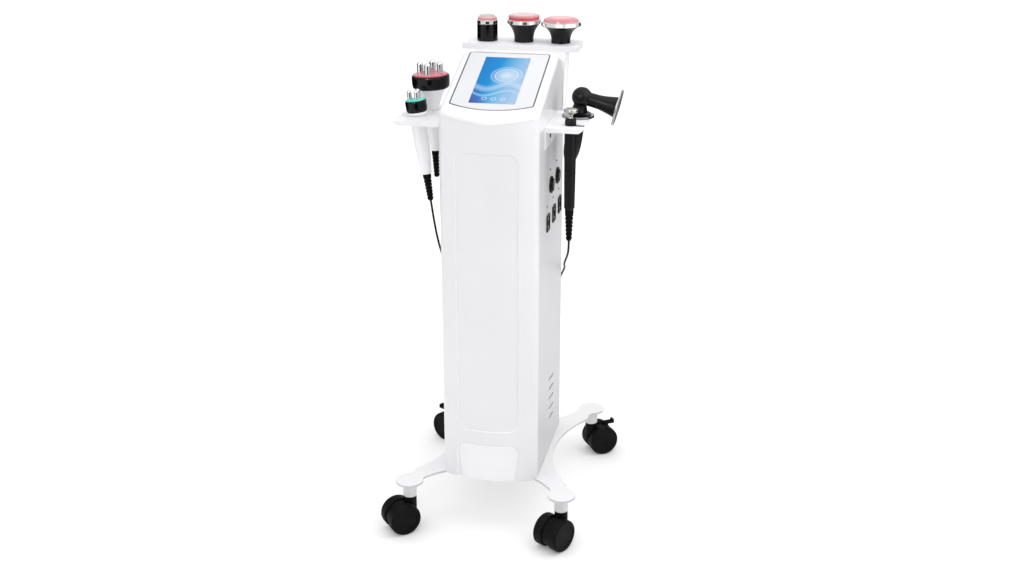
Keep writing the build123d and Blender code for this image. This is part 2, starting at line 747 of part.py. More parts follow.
def make_fascia():
    floor = -recess_depth
    plate = screen_prism(-lcd_gap, floor, 0)
    return plate - lcd_prism(lcd_gap, floor - overrun, overrun)


def make_lcd():
    return lcd_prism(0, -recess_depth, -lcd_drop)


# Shelves and rack: folded sheet


def make_shelf(side, width):
    wall = cab_w / 2
    x0, x1 = sorted((side * wall, side * (wall + width)))
    top = span(x0, x1, shelf_front_y, shelf_back_y, shelf_z - shelf_t, shelf_z)
    outer = [e for e in top.edges().filter_by(Axis.Z) if abs(e.center().X - side * (wall + width)) < seam]
    outer = [e for e in outer if e.center().Y > shelf_front_y + seam]
    top = fillet(outer, shelf_corner)
    inner_x = side * wall
    flange = span(*sorted((inner_x, inner_x + side * shelf_t)), shelf_front_y, shelf_back_y,
                  shelf_z - shelf_flange_h, shelf_z - shelf_t)
    tip = side * (wall + width)
    lip_face = Plane.XZ * make_face(Polyline(
        (inner_x, shelf_z - shelf_t), (inner_x, shelf_z - shelf_lip), (tip - side * shelf_lip, shelf_z - shelf_lip),
        (tip, shelf_z - shelf_lip_end), (tip, shelf_z - shelf_t), close=True))
    lip = Pos(0, shelf_front_y + shelf_t, 0) * extrude(lip_face, amount=shelf_t)
    return top + flange + lip


def make_right_shelf():
    shelf = make_shelf(1, right_shelf_w)
    tip = cab_w / 2 + right_shelf_w
    deep = 4 * shelf_t
    shelf -= tube(slot_w / 2, shelf_z - deep, shelf_z + deep, face_x, face_y)
    shelf -= span(face_x, tip + overrun, face_y - slot_w / 2, face_y + slot_w / 2, shelf_z - deep, shelf_z + deep)
    shelf -= tube(ring_hole_r, shelf_z - deep, shelf_z + deep, ball_x, ball_y)
    for y in screw_y_list:
        shelf -= Pos(cab_w / 2, y, screw_z) * Rot(0, 90, 0) * Cylinder(screw_r / 2 + seam, deep)
    return shelf


def make_left_shelf():
    shelf = make_shelf(-1, left_shelf_w)
    deep = 4 * shelf_t
    shelf -= tube(small_grip_r + small_hole_gap, shelf_z - deep, shelf_z + deep, small_x, small_y)
    shelf -= tube(large_grip_r + large_hole_gap, shelf_z - deep, shelf_z + deep, large_x, large_y)
    for y in screw_y_list:
        shelf -= Pos(-cab_w / 2, y, screw_z) * Rot(0, 90, 0) * Cylinder(screw_r / 2 + seam, deep)
    return shelf


def make_holder_ring():
    ring = tube(ring_r, shelf_z, shelf_z + ring_t, ball_x, ball_y)
    ring = fillet(ring.faces().sort_by(Axis.Z)[-1].outer_wire().edges(), ring_round)
    return ring - tube(ring_hole_r, shelf_z - ring_t, shelf_z + 2 * ring_t, ball_x, ball_y)


def make_rack():
    z0 = rack_z - rack_lip
    pan = span(-rack_half_w, rack_half_w, rack_front_y, rack_back_y, z0, rack_z)
    rear = pan.edges().filter_by(Axis.Z).sort_by(Axis.Y)[-2:]
    pan = fillet(rear, rack_corner)
    hollow = span(-rack_half_w + rack_t, rack_half_w - rack_t, rack_front_y + rack_t, rack_back_y - rack_t,
                  z0 - rack_lip, rack_z - rack_t)
    hollow = fillet(hollow.edges().filter_by(Axis.Z).sort_by(Axis.Y)[-2:], rack_corner - rack_t)
    pan -= hollow
    for i in (-1, 0, 1):
        pan -= tube(rack_hole_r, rack_z - rack_lip, rack_z + rack_lip, i * rack_pitch, rack_row_y)
    for side in (-1, 1):
        pan -= rack_screw(side, rack_screw_r + seam)
    half = bracket_w / 2
    foot = span(-half, half, cab_back_y, cab_back_y + rack_t, bracket_bottom_z, bracket_bend_z)
    lean = make_face(Polyline(
        (cab_back_y, bracket_bend_z), (cab_back_y + rack_t, bracket_bend_z - rack_t / 2),
        (rack_front_y + rack_t, z0), (rack_front_y + rack_t, z0 + rack_t), (rack_front_y, z0 + rack_t),
        (rack_front_y, z0), close=True))
    web = extrude(Plane.YZ * lean, amount=half, both=True)
    return pan + foot + web


# Sockets, lamps, screws, inlet, switch, fan and glands


def on_side(y, z):
    """A frame on the right side panel, Z pointing out of it."""
    return Pos(cab_w / 2, y, z) * Rot(0, 90, 0)


def make_sockets():
    parts = []
    for i in range(2):
        flange = Pos(0, 0, socket_flange_t / 2) * Cylinder(socket_flange_r, socket_flange_t)
        nose = Pos(0, 0, socket_nose_t / 2) * Cylinder(socket_nose_r, socket_nose_t)
        body = Pos(0, 0, -socket_body_len / 2) * Cylinder(socket_body_r, socket_body_len)
        bore = Pos(0, 0, socket_nose_t) * Cylinder(socket_bore_r, 2 * socket_bore_depth)
        jack = flange + nose + body - bore
        floor = socket_nose_t - socket_bore_depth
        for k in range(4):
            pin = Pos(contact_pitch_r * cos(pi / 4 + k * pi / 2), contact_pitch_r * sin(pi / 4 + k * pi / 2),
                      floor + contact_len / 2) * Cylinder(contact_r, contact_len)
            jack += pin
        parts.append(on_side(socket_y + i * socket_pitch, socket_z) * jack)
    for i in range(3):
        plate = Pos(0, 0, outlet_t / 2) * Box(outlet_h, outlet_w, outlet_t)
        plate = fillet(plate.edges().filter_by(Axis.Z), outlet_t)
        body = Pos(0, 0, -outlet_body_depth / 2) * Box(
            outlet_h - 2 * outlet_body_inset, outlet_w - 2 * outlet_body_inset, outlet_body_depth)
        jack = plate + body
        jack -= Pos(0, 0, outlet_t) * Box(outlet_pocket_h, outlet_pocket_w, 2 * outlet_pocket_depth)
        floor = outlet_t - outlet_pocket_depth
        for sign in (-1, 1):
            jack += Pos(sign * outlet_pin_pitch / 2, 0, floor + outlet_pin_len / 2) * Cylinder(
                outlet_pin_r, outlet_pin_len)
        parts.append(on_side(outlet_y + i * outlet_pitch, outlet_z) * jack)
    return Compound(parts)


def make_lamps():
    places = [(socket_y + i * socket_pitch + socket_lamp_shift, socket_z + socket_lamp_rise) for i in range(2)]
    places += [(outlet_y + i * outlet_pitch + outlet_lamp_shift, outlet_z + outlet_lamp_rise) for i in range(3)]
    return Compound([on_side(y, z) * Pos(0, 0, lamp_t / 2) * Cylinder(lamp_r, lamp_t) for y, z in places])


def make_screws():
    parts = []
    for side in (-1, 1):
        for y in screw_y_list:
            head = Pos(side * (cab_w / 2 + shelf_t + screw_head_t / 2), y, screw_z) * Rot(0, 90, 0) * Cylinder(
                screw_r, screw_head_t)
            parts.append(head)
    for side in (-1, 1):
        parts.append(rack_screw(side, rack_screw_r))
    return Compound(parts)


def rack_screw(side, radius):
    """A flush screw, or its hole, through the rack's top near one front corner."""
    x = side * (rack_half_w - rack_screw_inset)
    return tube(radius, rack_z - rack_t, rack_z, x, rack_front_y + rack_screw_setback)


def make_inlet():
    y1 = cab_back_y
    flange = span(inlet_x - inlet_w / 2, inlet_x + inlet_w / 2, y1, y1 + inlet_flange_t,
                  inlet_z - inlet_h / 2, inlet_z + inlet_h / 2)
    flange = fillet(flange.edges().filter_by(Axis.Y), inlet_flange_t)
    w = inlet_w / 2 - outlet_body_inset
    h = inlet_h / 2 - outlet_body_inset
    body = span(inlet_x - w, inlet_x + w, y1 - inlet_depth, y1, inlet_z - h, inlet_z + h)
    inlet = flange + body
    well_z = inlet_z - inlet_h * inlet_place_share
    inlet -= span(inlet_x - inlet_well_w / 2, inlet_x + inlet_well_w / 2, y1 - inlet_depth + inlet_flange_t,
                  y1 + inlet_depth, well_z - inlet_well_h / 2, well_z + inlet_well_h / 2)
    z = inlet_z + rocker_z
    half_w = rocker_w / 2 + rocker_gap
    inlet -= span(inlet_x - half_w, inlet_x + half_w, y1 - rocker_t - rocker_h / 2, y1 + inlet_depth,
                  z - rocker_h / 2 - rocker_gap, z + rocker_h / 2 + rocker_gap)
    pin = Pos(inlet_x, y1 - rocker_t / 2, z) * Rot(0, 90, 0) * Cylinder(rocker_pin_r, rocker_w + 2 * rocker_t)
    return inlet + pin


def make_rocker():
    z = inlet_z + rocker_z
    barrel = Rot(0, 90, 0) * Cylinder(rocker_h / 2, rocker_w)
    barrel -= Rot(0, 90, 0) * Cylinder(rocker_pin_r + rocker_pin_clearance, 2 * rocker_w)
    y = cab_back_y - rocker_t / 2
    keep = span(-rocker_w, rocker_w, -rocker_h, rocker_t - rocker_gap, -rocker_h, rocker_h)
    return Pos(inlet_x, y, z) * (barrel & keep)


def make_fan_frame():
    y1 = cab_back_y - sheet_t
    frame = span(fan_x - fan_w / 2, fan_x + fan_w / 2, y1 - fan_t, y1, fan_z - fan_w / 2, fan_z + fan_w / 2)
    frame -= Pos(fan_x, y1 - fan_t / 2, fan_z) * Rot(90, 0, 0) * Cylinder(fan_bore_r, 2 * fan_t)
    stay_y = y1 - fan_t + fan_end_gap
    for turn in (0, 90):
        bar = Box(2 * fan_bore_r + fan_stay_w, fan_end_gap * 2, fan_stay_w)
        frame += Pos(fan_x, stay_y - fan_end_gap, fan_z) * Rot(0, turn, 0) * bar & span(
            fan_x - fan_w / 2, fan_x + fan_w / 2, y1 - fan_t, y1, fan_z - fan_w / 2, fan_z + fan_w / 2)
    pin = Pos(fan_x, y1 - fan_t / 2, fan_z) * Rot(90, 0, 0) * Cylinder(fan_shaft_r, fan_t - fan_end_gap)
    return frame + pin


def make_fan_rotor():
    y1 = cab_back_y - sheet_t
    depth = fan_t - 3 * fan_end_gap
    hub = Cylinder(fan_hub_r, depth)
    reach = fan_bore_r - fan_blade_tip_gap
    for i in range(fan_blade_count):
        blade = Pos((reach + fan_hub_r) / 2 - fan_blade_t, 0, 0) * Rot(35, 0, 0) * Box(
            reach - fan_hub_r, fan_blade_t, depth)
        hub += Rot(0, 0, 360 / fan_blade_count * i) * blade
    hub = hub & Cylinder(reach, depth)
    hub -= Cylinder(fan_shaft_r + axle_clearance, 2 * fan_t)
    return Pos(fan_x, y1 - fan_t / 2 + fan_end_gap / 2, fan_z) * Rot(90, 0, 0) * hub


def make_glands():
    parts = []
    for x in gland_x.values():
        nut = extrude(RegularPolygon(gland_hex_r, 6), amount=gland_hex_t)
        cone = Pos(0, 0, gland_hex_t) * turned([(gland_r, 0), (gland_r, gland_t - gland_hex_t * 2), (cord_d * gland_mouth_share, gland_t)])
        tail = Pos(0, 0, -sheet_t * 2) * Cylinder(gland_r / 2, sheet_t * 4)
        parts.append(Pos(x, cab_back_y, gland_z) * Rot(-90, 0, 0) * (nut + cone + tail))
    return Compound(parts)


def make_deck():
    w = cab_w / 2 - sheet_t - deck_gap
    y0 = cab_front_y + cover_return + overrun / 4
    y1 = cab_back_y - sheet_t - deck_gap
    deck = span(-w, w, y0, y1, deck_z, deck_z + deck_t)
    base = plate_top_z + sheet_t
    for side in (-1, 1):
        x0, x1 = sorted((side * w, side * (w - deck_foot)))
        deck += span(x0, x1, y0, y1, base, deck_z)
    rail_top = board_z[1] + board_h
    for side in (-1, 1):
        x0, x1 = sorted((side * board_w / 2, side * (board_w / 2 - board_rail_w)))
        deck += span(x0, x1, board_y, board_y + board_rail_w, deck_z + deck_t, rail_top)
    return deck


def make_supply():
    z0 = deck_z + deck_t
    case = span(-supply_w / 2, supply_w / 2, board_y - supply_d - board_rail_w, board_y - board_rail_w, z0, z0 + supply_h)
    for i in range(supply_vent_count):
        y = board_y - supply_d + (i + 0.5) * (supply_d - 2 * board_rail_w) / supply_vent_count
        case -= span(-supply_w / 3, supply_w / 3, y - vent_w / 2, y + vent_w / 2, z0 + supply_h - vent_w, z0 + supply_h)
    return case


def make_boards():
    parts = []
    for z in board_z:
        card = span(-board_w / 2, board_w / 2, board_y - board_t, board_y, z, z + board_h)
        for sx, sz, w, h in board_part_shares:
            cx = sx * board_w
            cz = z + sz * board_h
            card += span(cx - w * board_w / 2, cx + w * board_w / 2, board_y - board_t - board_part_depth,
                         board_y - board_t, cz - h * board_h / 2, cz + h * board_h / 2)
        parts.append(card)
    return Compound(parts)


# Handpieces, each built upright about Z with z = 0 at the shelf's top face


def ribbed(top_z, length, top_r, end_r, ribs):
    """A strain relief with ring ribs that narrows downwards."""
    pitch = length / (ribs + 1)
    points = [(end_r * rib_share, top_z - length)]
    for i in range(ribs):
        low = top_z - length + pitch * i
        r = end_r + (top_r - end_r) * (i + 1) / (ribs + 1)
        ridge = low + pitch * (1 - rib_land_share)
        points += [(r * rib_share, ridge - seam), (r, ridge), (r, low + pitch - seam), (r * rib_share, low + pitch)]
    points += [(top_r, top_z - pitch + seam), (top_r, top_z)]
    return turned(points)


def posts(count, radius, ring_r, base_z, height, start):
    """Round-tipped chrome electrodes standing in a ring."""
    parts = []
    for i in range(count):
        angle = radians(start + i * 360 / count)
        post = Pos(0, 0, height / 2) * Cylinder(radius, height)
        post = fillet(post.faces().sort_by(Axis.Z)[-1].edges(), radius * post_tip_share)
        parts.append(Pos(ring_r * cos(angle), ring_r * sin(angle), base_z) * post)
    return Compound(parts)


def lean_place(x, y, lean):
    return Pos(x, y, shelf_z) * Rot(0, -lean, 0)


def make_small_rf():
    """Small bipolar head: handle, band, lit face, three posts and relief."""
    lean = radians(small_lean)
    seat = (fit_gap + small_collar_r * sin(lean)) / cos(lean)
    grip = outline(small_grip_shares, small_grip_r, small_grip_len)
    neck = turned([grip[-1], (small_grip_r, seat), (small_collar_r, seat), (small_collar_r, small_band_low)])
    handle = turned_smooth(grip) + neck
    band = turned(outline(band_shares, small_band_r, small_band_high - small_band_low, small_band_low))
    face = turned(outline(face_plate_shares, small_band_r - small_face_inset, small_face_t, small_band_high))
    rods = posts(small_post_count, small_post_r, small_post_ring_r, small_band_high + small_face_t,
                 small_post_len, small_post_turn)
    relief = ribbed(-small_grip_len, small_relief_len, small_relief_r, small_relief_end_r, relief_rib_count)
    place = lean_place(small_x, small_y, small_lean)
    return {
        "small_rf_handle": place * handle, "small_rf_band": place * band, "small_rf_face": place * face,
        "small_rf_electrodes": place * rods, "small_rf_relief": place * relief,
    }


def make_large_rf():
    """Large bipolar head: handle with cone, band, lit face, four posts and relief."""
    cone = turned_smooth(flared(large_cone_shares, large_grip_r, large_cone_r, large_band_low))
    handle = turned_smooth(outline(large_grip_shares, large_grip_r, large_grip_len)) + cone
    band = turned(outline(band_shares, large_band_r, large_band_high - large_band_low, large_band_low))
    face = turned(outline(face_plate_shares, large_band_r - large_face_inset, large_face_t, large_band_high))
    rods = posts(large_post_count, large_post_r, large_post_ring_r, large_band_high + large_face_t,
                 large_post_len, large_post_turn)
    relief = ribbed(-large_grip_len, large_relief_len, large_relief_r, large_relief_end_r, relief_rib_count)
    place = lean_place(large_x, large_y, large_lean) * Pos(0, 0, large_lift)
    return {
        "large_rf_handle": place * handle, "large_rf_band": place * band, "large_rf_face": place * face,
        "large_rf_electrodes": place * rods, "large_rf_relief": place * relief,
    }


def make_face_rf():
    """Slim facial head that slides into the shelf's open slot."""
    under = -shelf_t - fit_gap
    base = turned(outline(face_base_shares, face_base_r, face_base_h))
    neck = tube(slot_w / 2 - face_neck_gap, under, face_base_h / 2)
    body = turned(outline(face_body_shares, face_body_r, face_body_len + under, under))
    cap = turned_smooth(outline(face_cap_shares, face_cap_r, face_cap_h, face_base_h))
    relief = ribbed(-face_body_len, face_relief_len, face_relief_r, face_relief_end_r, relief_rib_count)
    place = Pos(face_x, face_y, shelf_z)
    return {
        "face_rf_handle": place * (base + neck + body), "face_rf_cap": place * cap, "face_rf_relief": place * relief,
    }


def make_ball_head():
    """Gun-shaped head: grip through the ring, ball, flared barrel and disc."""
    lean = radians(abs(ball_lean))
    seat = (ring_t + fit_gap) / cos(lean) + ball_collar_r * tan(lean)
    grip = turned_smooth(outline(ball_grip_shares, ball_grip_r, ball_grip_len) + [(ball_grip_r, seat)])
    rise_z = seat + ball_collar_t
    collar = turned([(ball_collar_r, seat), (ball_collar_r, rise_z), (ball_grip_r, rise_z + ball_collar_t),
                     (ball_neck_r, seat + ball_neck_h), (ball_neck_r, ball_z)])
    place = lean_place(ball_x, ball_y, ball_lean)
    centre = place * Pos(0, 0, ball_z)
    aim = Pos(centre.position) * Rot(0, 90 + barrel_drop, 0)
    barrel = turned_smooth(outline(barrel_shares, barrel_r, barrel_end - barrel_start, barrel_start))
    hub = tube(disc_hub_r, barrel_end, barrel_end + disc_hub_t)
    disc = turned(outline(disc_shares, disc_r, disc_t, barrel_end + disc_hub_t))
    return {
        "ball_head_grip": place * (grip + collar + Pos(0, 0, ball_z) * Sphere(ball_r)) + aim * barrel,
        "ball_head_disc": aim * (hub + disc),
    }


def rack_place(i):
    return Pos(i * rack_pitch, rack_row_y, rack_z)


def rack_grip():
    """The hidden lower grip of a rack handpiece, joined to its head."""
    low = turned_smooth(outline(rack_grip_shares, rack_grip_r, rack_grip_len))
    return low + tube(rack_joint_r, -rack_joint_t, rack_joint_t)


def make_rack_heads():
    """Three round heads that hang in the rack: narrow, raised and wide."""
    tall = narrow_h - fit_gap
    parts = {
        "narrow_head_body": rack_grip() + turned(outline(narrow_shares, narrow_r, tall, fit_gap)),
        "narrow_head_ring": turned(outline(narrow_ring_shares, narrow_r, narrow_ring_h, narrow_h)),
        "narrow_head_lens": turned(outline(narrow_lens_shares, narrow_r - narrow_lens_inset, narrow_lens_h, narrow_h + narrow_ring_h)),
        "raised_head_body": rack_grip() + turned_smooth(flared(raised_shares, rack_neck_r, raised_r, raised_h - fit_gap, fit_gap)),
        "raised_head_ring": turned(outline(ring_shares, raised_ring_r, raised_ring_h, raised_h)),
        "raised_head_lens": turned(outline(raised_lens_shares, raised_ring_r - raised_lens_inset, raised_lens_h, raised_h + raised_ring_h)),
        "wide_head_body": rack_grip() + turned_smooth(flared(wide_shares, rack_neck_r, wide_r, wide_h - fit_gap, fit_gap)),
        "wide_head_ring": turned(outline(wide_ring_shares, wide_ring_r, wide_ring_h, wide_h)),
        "wide_head_lens": turned(outline(wide_lens_shares, wide_ring_r - wide_lens_inset, wide_lens_h, wide_h + wide_ring_h)),
    }
    row = {"narrow": -1, "raised": 0, "wide": 1}
    return {name: rack_place(row[name.split("_")[0]]) * solid for name, solid in parts.items()}


def make_cord(name, route):
    """A round cord along straight runs joined by tangent arcs."""
    points = [Vector(*p) for p in route]
    radii = []
    for a, b, c in zip(points, points[1:], points[2:]):
        turn = radians((b - a).get_angle(c - b))
        radii.append(0.45 * min((b - a).length, (c - b).length) / tan(turn / 2))
    print(name, "radii", [round(r) for r in radii])
    path = FilletPolyline(*points, radius=radii)
    start = Plane(origin=points[0], z_dir=points[1] - points[0])
    cord = sweep(start * Circle(cord_d / 2), path=path)
    print(name, "length", round(path.length), "volume share", round(cord.volume / (pi * (cord_d / 2) ** 2 * path.length), 3))
    return cord


def build():
    parts = {
        "base_plate": make_base_plate(), "caster_collars": make_collars(),
        "cabinet_shell": make_cabinet_shell(), "back_panel": make_back_panel(), "front_cover": make_front_cover(), "head_cover": make_head_cover(),
        "screen_gasket": make_gasket(), "screen_fascia": make_fascia(), "lcd_panel": make_lcd(),
        "rack_tray": make_rack(), "right_shelf": make_right_shelf(), "left_shelf": make_left_shelf(),
        "holder_ring": make_holder_ring(), "side_sockets": make_sockets(), "socket_lamps": make_lamps(),
        "panel_screws": make_screws(), "power_inlet": make_inlet(), "rocker_switch": make_rocker(),
        "fan_frame": make_fan_frame(), "fan_rotor": make_fan_rotor(), "cord_glands": make_glands(),
        "equipment_deck": make_deck(), "power_supply": make_supply(), "driver_boards": make_boards(),
    }
    for corner in headings:
        parts["caster_hood_" + corner] = make_hood(corner)
        parts["caster_wheels_" + corner] = make_wheels(corner)
        if corner.startswith("rear"):
            parts["brake_pedal_" + corner] = make_pedal(corner)
    for group in (make_small_rf(), make_large_rf(), make_face_rf(), make_ball_head(), make_rack_heads()):
        parts.update(group)
    parts["small_rf_cord"] = make_cord("small_rf_cord", small_cord_route)
    parts["face_rf_cord"] = make_cord("face_rf_cord", face_cord_route)
    return parts


parts = build()
rigid = Compound([solid for node, solid in parts.items() if not node.endswith("_cord")]).bounding_box()
shift = Pos(-(rigid.min.X + rigid.max.X) / 2, -(rigid.min.Y + rigid.max.Y) / 2, -rigid.min.Z)
print("shift", shift.position)
os.makedirs("parts", exist_ok=True)
for node, solid in parts.items():
    export_step(shift * solid, "parts/" + node + ".step")
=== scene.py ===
import math
import bpy
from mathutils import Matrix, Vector


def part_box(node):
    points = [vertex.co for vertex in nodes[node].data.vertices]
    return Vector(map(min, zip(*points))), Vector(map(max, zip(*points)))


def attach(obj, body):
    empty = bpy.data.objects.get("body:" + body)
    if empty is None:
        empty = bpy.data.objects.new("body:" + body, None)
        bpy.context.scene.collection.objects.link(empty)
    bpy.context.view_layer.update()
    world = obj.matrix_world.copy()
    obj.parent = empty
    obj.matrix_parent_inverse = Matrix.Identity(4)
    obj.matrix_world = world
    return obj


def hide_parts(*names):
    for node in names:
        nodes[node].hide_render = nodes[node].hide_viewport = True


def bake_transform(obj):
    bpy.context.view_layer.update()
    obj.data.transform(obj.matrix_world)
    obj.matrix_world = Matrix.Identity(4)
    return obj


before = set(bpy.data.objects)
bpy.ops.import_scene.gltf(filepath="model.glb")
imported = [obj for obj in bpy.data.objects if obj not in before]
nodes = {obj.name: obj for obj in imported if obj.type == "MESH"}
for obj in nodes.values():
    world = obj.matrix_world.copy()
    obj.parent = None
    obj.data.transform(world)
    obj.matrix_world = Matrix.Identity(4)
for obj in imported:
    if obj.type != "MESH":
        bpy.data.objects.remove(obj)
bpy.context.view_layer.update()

# Camera
# The photograph's viewing angle, distance and lens, aimed at the middle of the machine. Places and sizes are in
# millimetres from the cabinet's middle at floor level; a value whose name ends in _m is in metres.
mm_per_m = 1000
cabinet_half_depth_m = 0.1585
shell_low, shell_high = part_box("cabinet_shell")
mid_x = (shell_low.x + shell_high.x) / 2
mid_y = shell_high.y - cabinet_half_depth_m


def place(x, y, z):
    """A point in millimetres from the cabinet's middle, in the frame's metres."""
    return Vector((mid_x + x / mm_per_m, mid_y + y / mm_per_m, z / mm_per_m))


view_yaw = math.radians(11.601)
view_pitch = math.radians(20.214)
view_distance_m = 3.1101
view_aim = place(19.46, 0, 532.56)
across_floor = view_distance_m * math.cos(view_pitch)
camera_data = bpy.data.cameras.new("view")
camera_data.lens = 46.91
camera_data.sensor_width = 36
camera = bpy.data.objects.new("view", camera_data)
bpy.context.scene.collection.objects.link(camera)
camera.location = view_aim + Vector((math.sin(view_yaw) * across_floor, -math.cos(view_yaw) * across_floor,
                                     math.sin(view_pitch) * view_distance_m))
camera.rotation_euler = (math.pi / 2 - view_pitch, 0, view_yaw)
bpy.context.scene.camera = camera

# Handpiece leads
# Two limp round cords of extruded soft PVC, 5 mm thick. Each leaves the ribbed relief of its handpiece, passes
# the cabinet's side, hangs in a slack loop behind it and is clamped in a gland on the back.
grain_height_m = 0.0004
lead_diameter_m = 0.005
lead_curve_steps = 10
lead_round_steps = 4
small_lead_route = (
    (-165.1, -24.0, 741.8), (-157.4, -24.0, 683.3), (-148.0, -14.0, 622.0), (-139.0, 14.0, 566.0),
    (-133.0, 58.0, 520.0), (-130.0, 108.0, 480.0), (-128.0, 156.0, 444.0), (-117.0, 192.0, 402.0),
    (-108.0, 210.0, 358.0), (-100.0, 214.0, 318.0), (-92.0, 214.5, 289.0), (-79.0, 214.0, 271.0),
    (-62.0, 214.5, 266.0), (-47.0, 214.0, 276.0), (-40.0, 214.5, 297.0), (-38.0, 214.0, 334.0),
    (-39.0, 214.5, 390.0), (-42.0, 214.0, 448.0), (-46.0, 214.5, 506.0), (-52.0, 214.0, 558.0),
    (-57.5, 214.5, 590.0), (-60.5, 209.0, 609.0), (-62.0, 195.0, 620.0), (-62.0, 176.5, 620.0))
face_lead_route = (
    (160.0, -53.0, 675.6), (160.0, -53.0, 653.0), (152.0, -22.0, 628.0), (140.5, 18.0, 601.0),
    (130.0, 72.0, 575.0), (122.0, 124.0, 555.0), (116.5, 166.0, 533.0), (101.0, 194.0, 500.0),
    (89.0, 209.0, 458.0), (81.0, 214.0, 412.0), (73.0, 214.5, 372.0), (63.0, 214.0, 345.0),
    (49.0, 214.5, 331.0), (32.0, 214.0, 332.0), (20.0, 214.5, 346.0), (16.0, 214.0, 371.0),
    (16.5, 214.5, 420.0), (21.0, 214.0, 474.0), (29.0, 214.5, 524.0), (41.0, 214.0, 566.0),
    (51.5, 214.5, 594.0), (59.0, 208.5, 611.0), (62.0, 195.0, 620.0), (62.0, 176.5, 620.0))


def colour(code):
    """A linear colour from an sRGB hex code."""
    parts = [int(code[i:i + 2], 16) / 255 for i in (1, 3, 5)]
    return tuple(c / 12.92 if c <= 0.04045 else ((c + 0.055) / 1.055) ** 2.4 for c in parts) + (1,)


def add(tree, kind, inputs=(), stops=(), **settings):
    """Adds a shader node with its settings and links; an input is a value or the output that feeds it."""
    node = tree.nodes.new("ShaderNode" + kind)
    for name, value in settings.items():
        setattr(node, name, value)
    for name, value in dict(inputs).items():
        if isinstance(value, bpy.types.NodeSocket):
            tree.links.new(value, node.inputs[name])
        else:
            node.inputs[name].default_value = value
    if stops:
        band = node.color_ramp.elements
        for end, (at, code) in ((band[0], stops[0]), (band[1], stops[-1])):
            end.position, end.color = at, colour(code)
        for at, code in stops[1:-1]:
            band.new(at).color = colour(code)
    return node


def bare_material(name):
    """A named material with an empty node tree."""
    material = bpy.data.materials.new(name)
    material.use_nodes = True
    material.node_tree.nodes.clear()
    return material


def worked_surface(name, base, other, *, rough, grain_mm, depth, drift_mm, spread=0.06, metallic=0.0, coat=0.0,
                   specular=0.5):
    """A surface whose tone and gloss drift slowly, over drift_mm, under a fine grain that is grain_mm wide."""
    material = bare_material(name)
    tree = material.node_tree
    where = add(tree, "TexCoord").outputs["Object"]
    drift = add(tree, "TexNoise", {"Vector": where, "Scale": mm_per_m / drift_mm, "Detail": 3.0,
                                   "Roughness": 0.55}).outputs["Fac"]
    tone = add(tree, "MapRange", {"Value": drift, "From Min": 0.35, "From Max": 0.65})
    tint = add(tree, "Mix", {"Factor": tone.outputs["Result"], "A": colour(base), "B": colour(other)},
               data_type="RGBA")
    gloss = add(tree, "MapRange", {"Value": drift, "To Min": rough - spread, "To Max": rough + spread})
    grain = add(tree, "TexNoise", {"Vector": where, "Scale": mm_per_m / grain_mm, "Detail": 2.0})
    bump = add(tree, "Bump", {"Height": grain.outputs["Fac"], "Strength": depth, "Distance": grain_height_m})
    body = add(tree, "BsdfPrincipled", {
        "Base Color": tint.outputs["Result"], "Roughness": gloss.outputs["Result"],
        "Normal": bump.outputs["Normal"], "Metallic": metallic, "Coat Weight": coat, "Coat Roughness": 0.15,
        "Specular IOR Level": specular})
    add(tree, "OutputMaterial", {"Surface": body.outputs["BSDF"]})
    return material


# extruded soft PVC: a dull black with a matt skin, so the lead shows only a faint line of light; the skin's
# lines are 0.1 mm wide, too fine to show, and are drawn 0.45 mm wide
extruded_pvc = worked_surface("extruded_soft_pvc", "#0C0C0D", "#141415", rough=0.5, grain_mm=0.45, depth=0.15,
                              drift_mm=16.7, specular=0.2)


def lead_curve(name, route, thickness_m):
    """A smooth curve with the route's points as its control points."""
    data = bpy.data.curves.new(name, "CURVE")
    data.dimensions = "3D"
    data.resolution_u = lead_curve_steps
    data.bevel_depth = thickness_m / 2
    data.bevel_resolution = lead_round_steps
    spline = data.splines.new("NURBS")
    spline.points.add(len(route) - 1)
    for point, at in zip(spline.points, route):
        point.co = (*place(*at), 1)
    spline.order_u = 3
    spline.use_endpoint_u = True
    curve = bpy.data.objects.new(name, data)
    bpy.context.scene.collection.objects.link(curve)
    return curve


def hang_lead(name, route, node):
    """A lead as a tube that bends along its route between its handpiece and the cabinet, in place of the hidden
    cord.
    """
    line = lead_curve(name + "_line", route, 0)
    path = [v.co.copy() for v in bpy.data.meshes.new_from_object(line).vertices]
    tube = lead_curve(name + "_tube", route, lead_diameter_m)
    mesh = bpy.data.meshes.new_from_object(tube)
    for curve in (line, tube):
        bpy.data.objects.remove(curve)
    mesh.materials.clear()
    mesh.materials.append(extruded_pvc)
    for face in mesh.polygons:
        face.use_smooth = True
    lead = bpy.data.objects.new(name, mesh)
    bpy.context.scene.collection.objects.link(lead)
    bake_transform(lead)
    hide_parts(node)


hang_lead("small_rf_lead", small_lead_route, "small_rf_cord")
hang_lead("face_rf_lead", face_lead_route, "face_rf_cord")

# Base plate and stem collars
# A four-armed spider laser-cut from 6 mm steel plate and powder-coated white; four turned collars under its
# pads, coated the same way, take the casters' stems.
flat_share = 0.5


def wear(*names, material):
    """Gives the carried-over pieces one material all over."""
    for name in names:
        mesh = nodes[name].data
        mesh.materials.clear()
        mesh.materials.append(material)
        for face in mesh.polygons:
            face.material_index = 0


def wear_on(name, material, chosen):
    """Gives a piece a second material on the chosen faces."""
    mesh = nodes[name].data
    mesh.materials.append(material)
    for face in mesh.polygons:
        if chosen(face):
            face.material_index = 1


# powder coat on steel plate: a clean satin white with a faint orange peel, 0.67 mm wide
coated_plate = worked_surface("powder_coated_steel_plate", "#EBEBEC", "#EEEEEF", rough=0.38, grain_mm=0.67,
                              depth=0.12, drift_mm=125, specular=0.3)
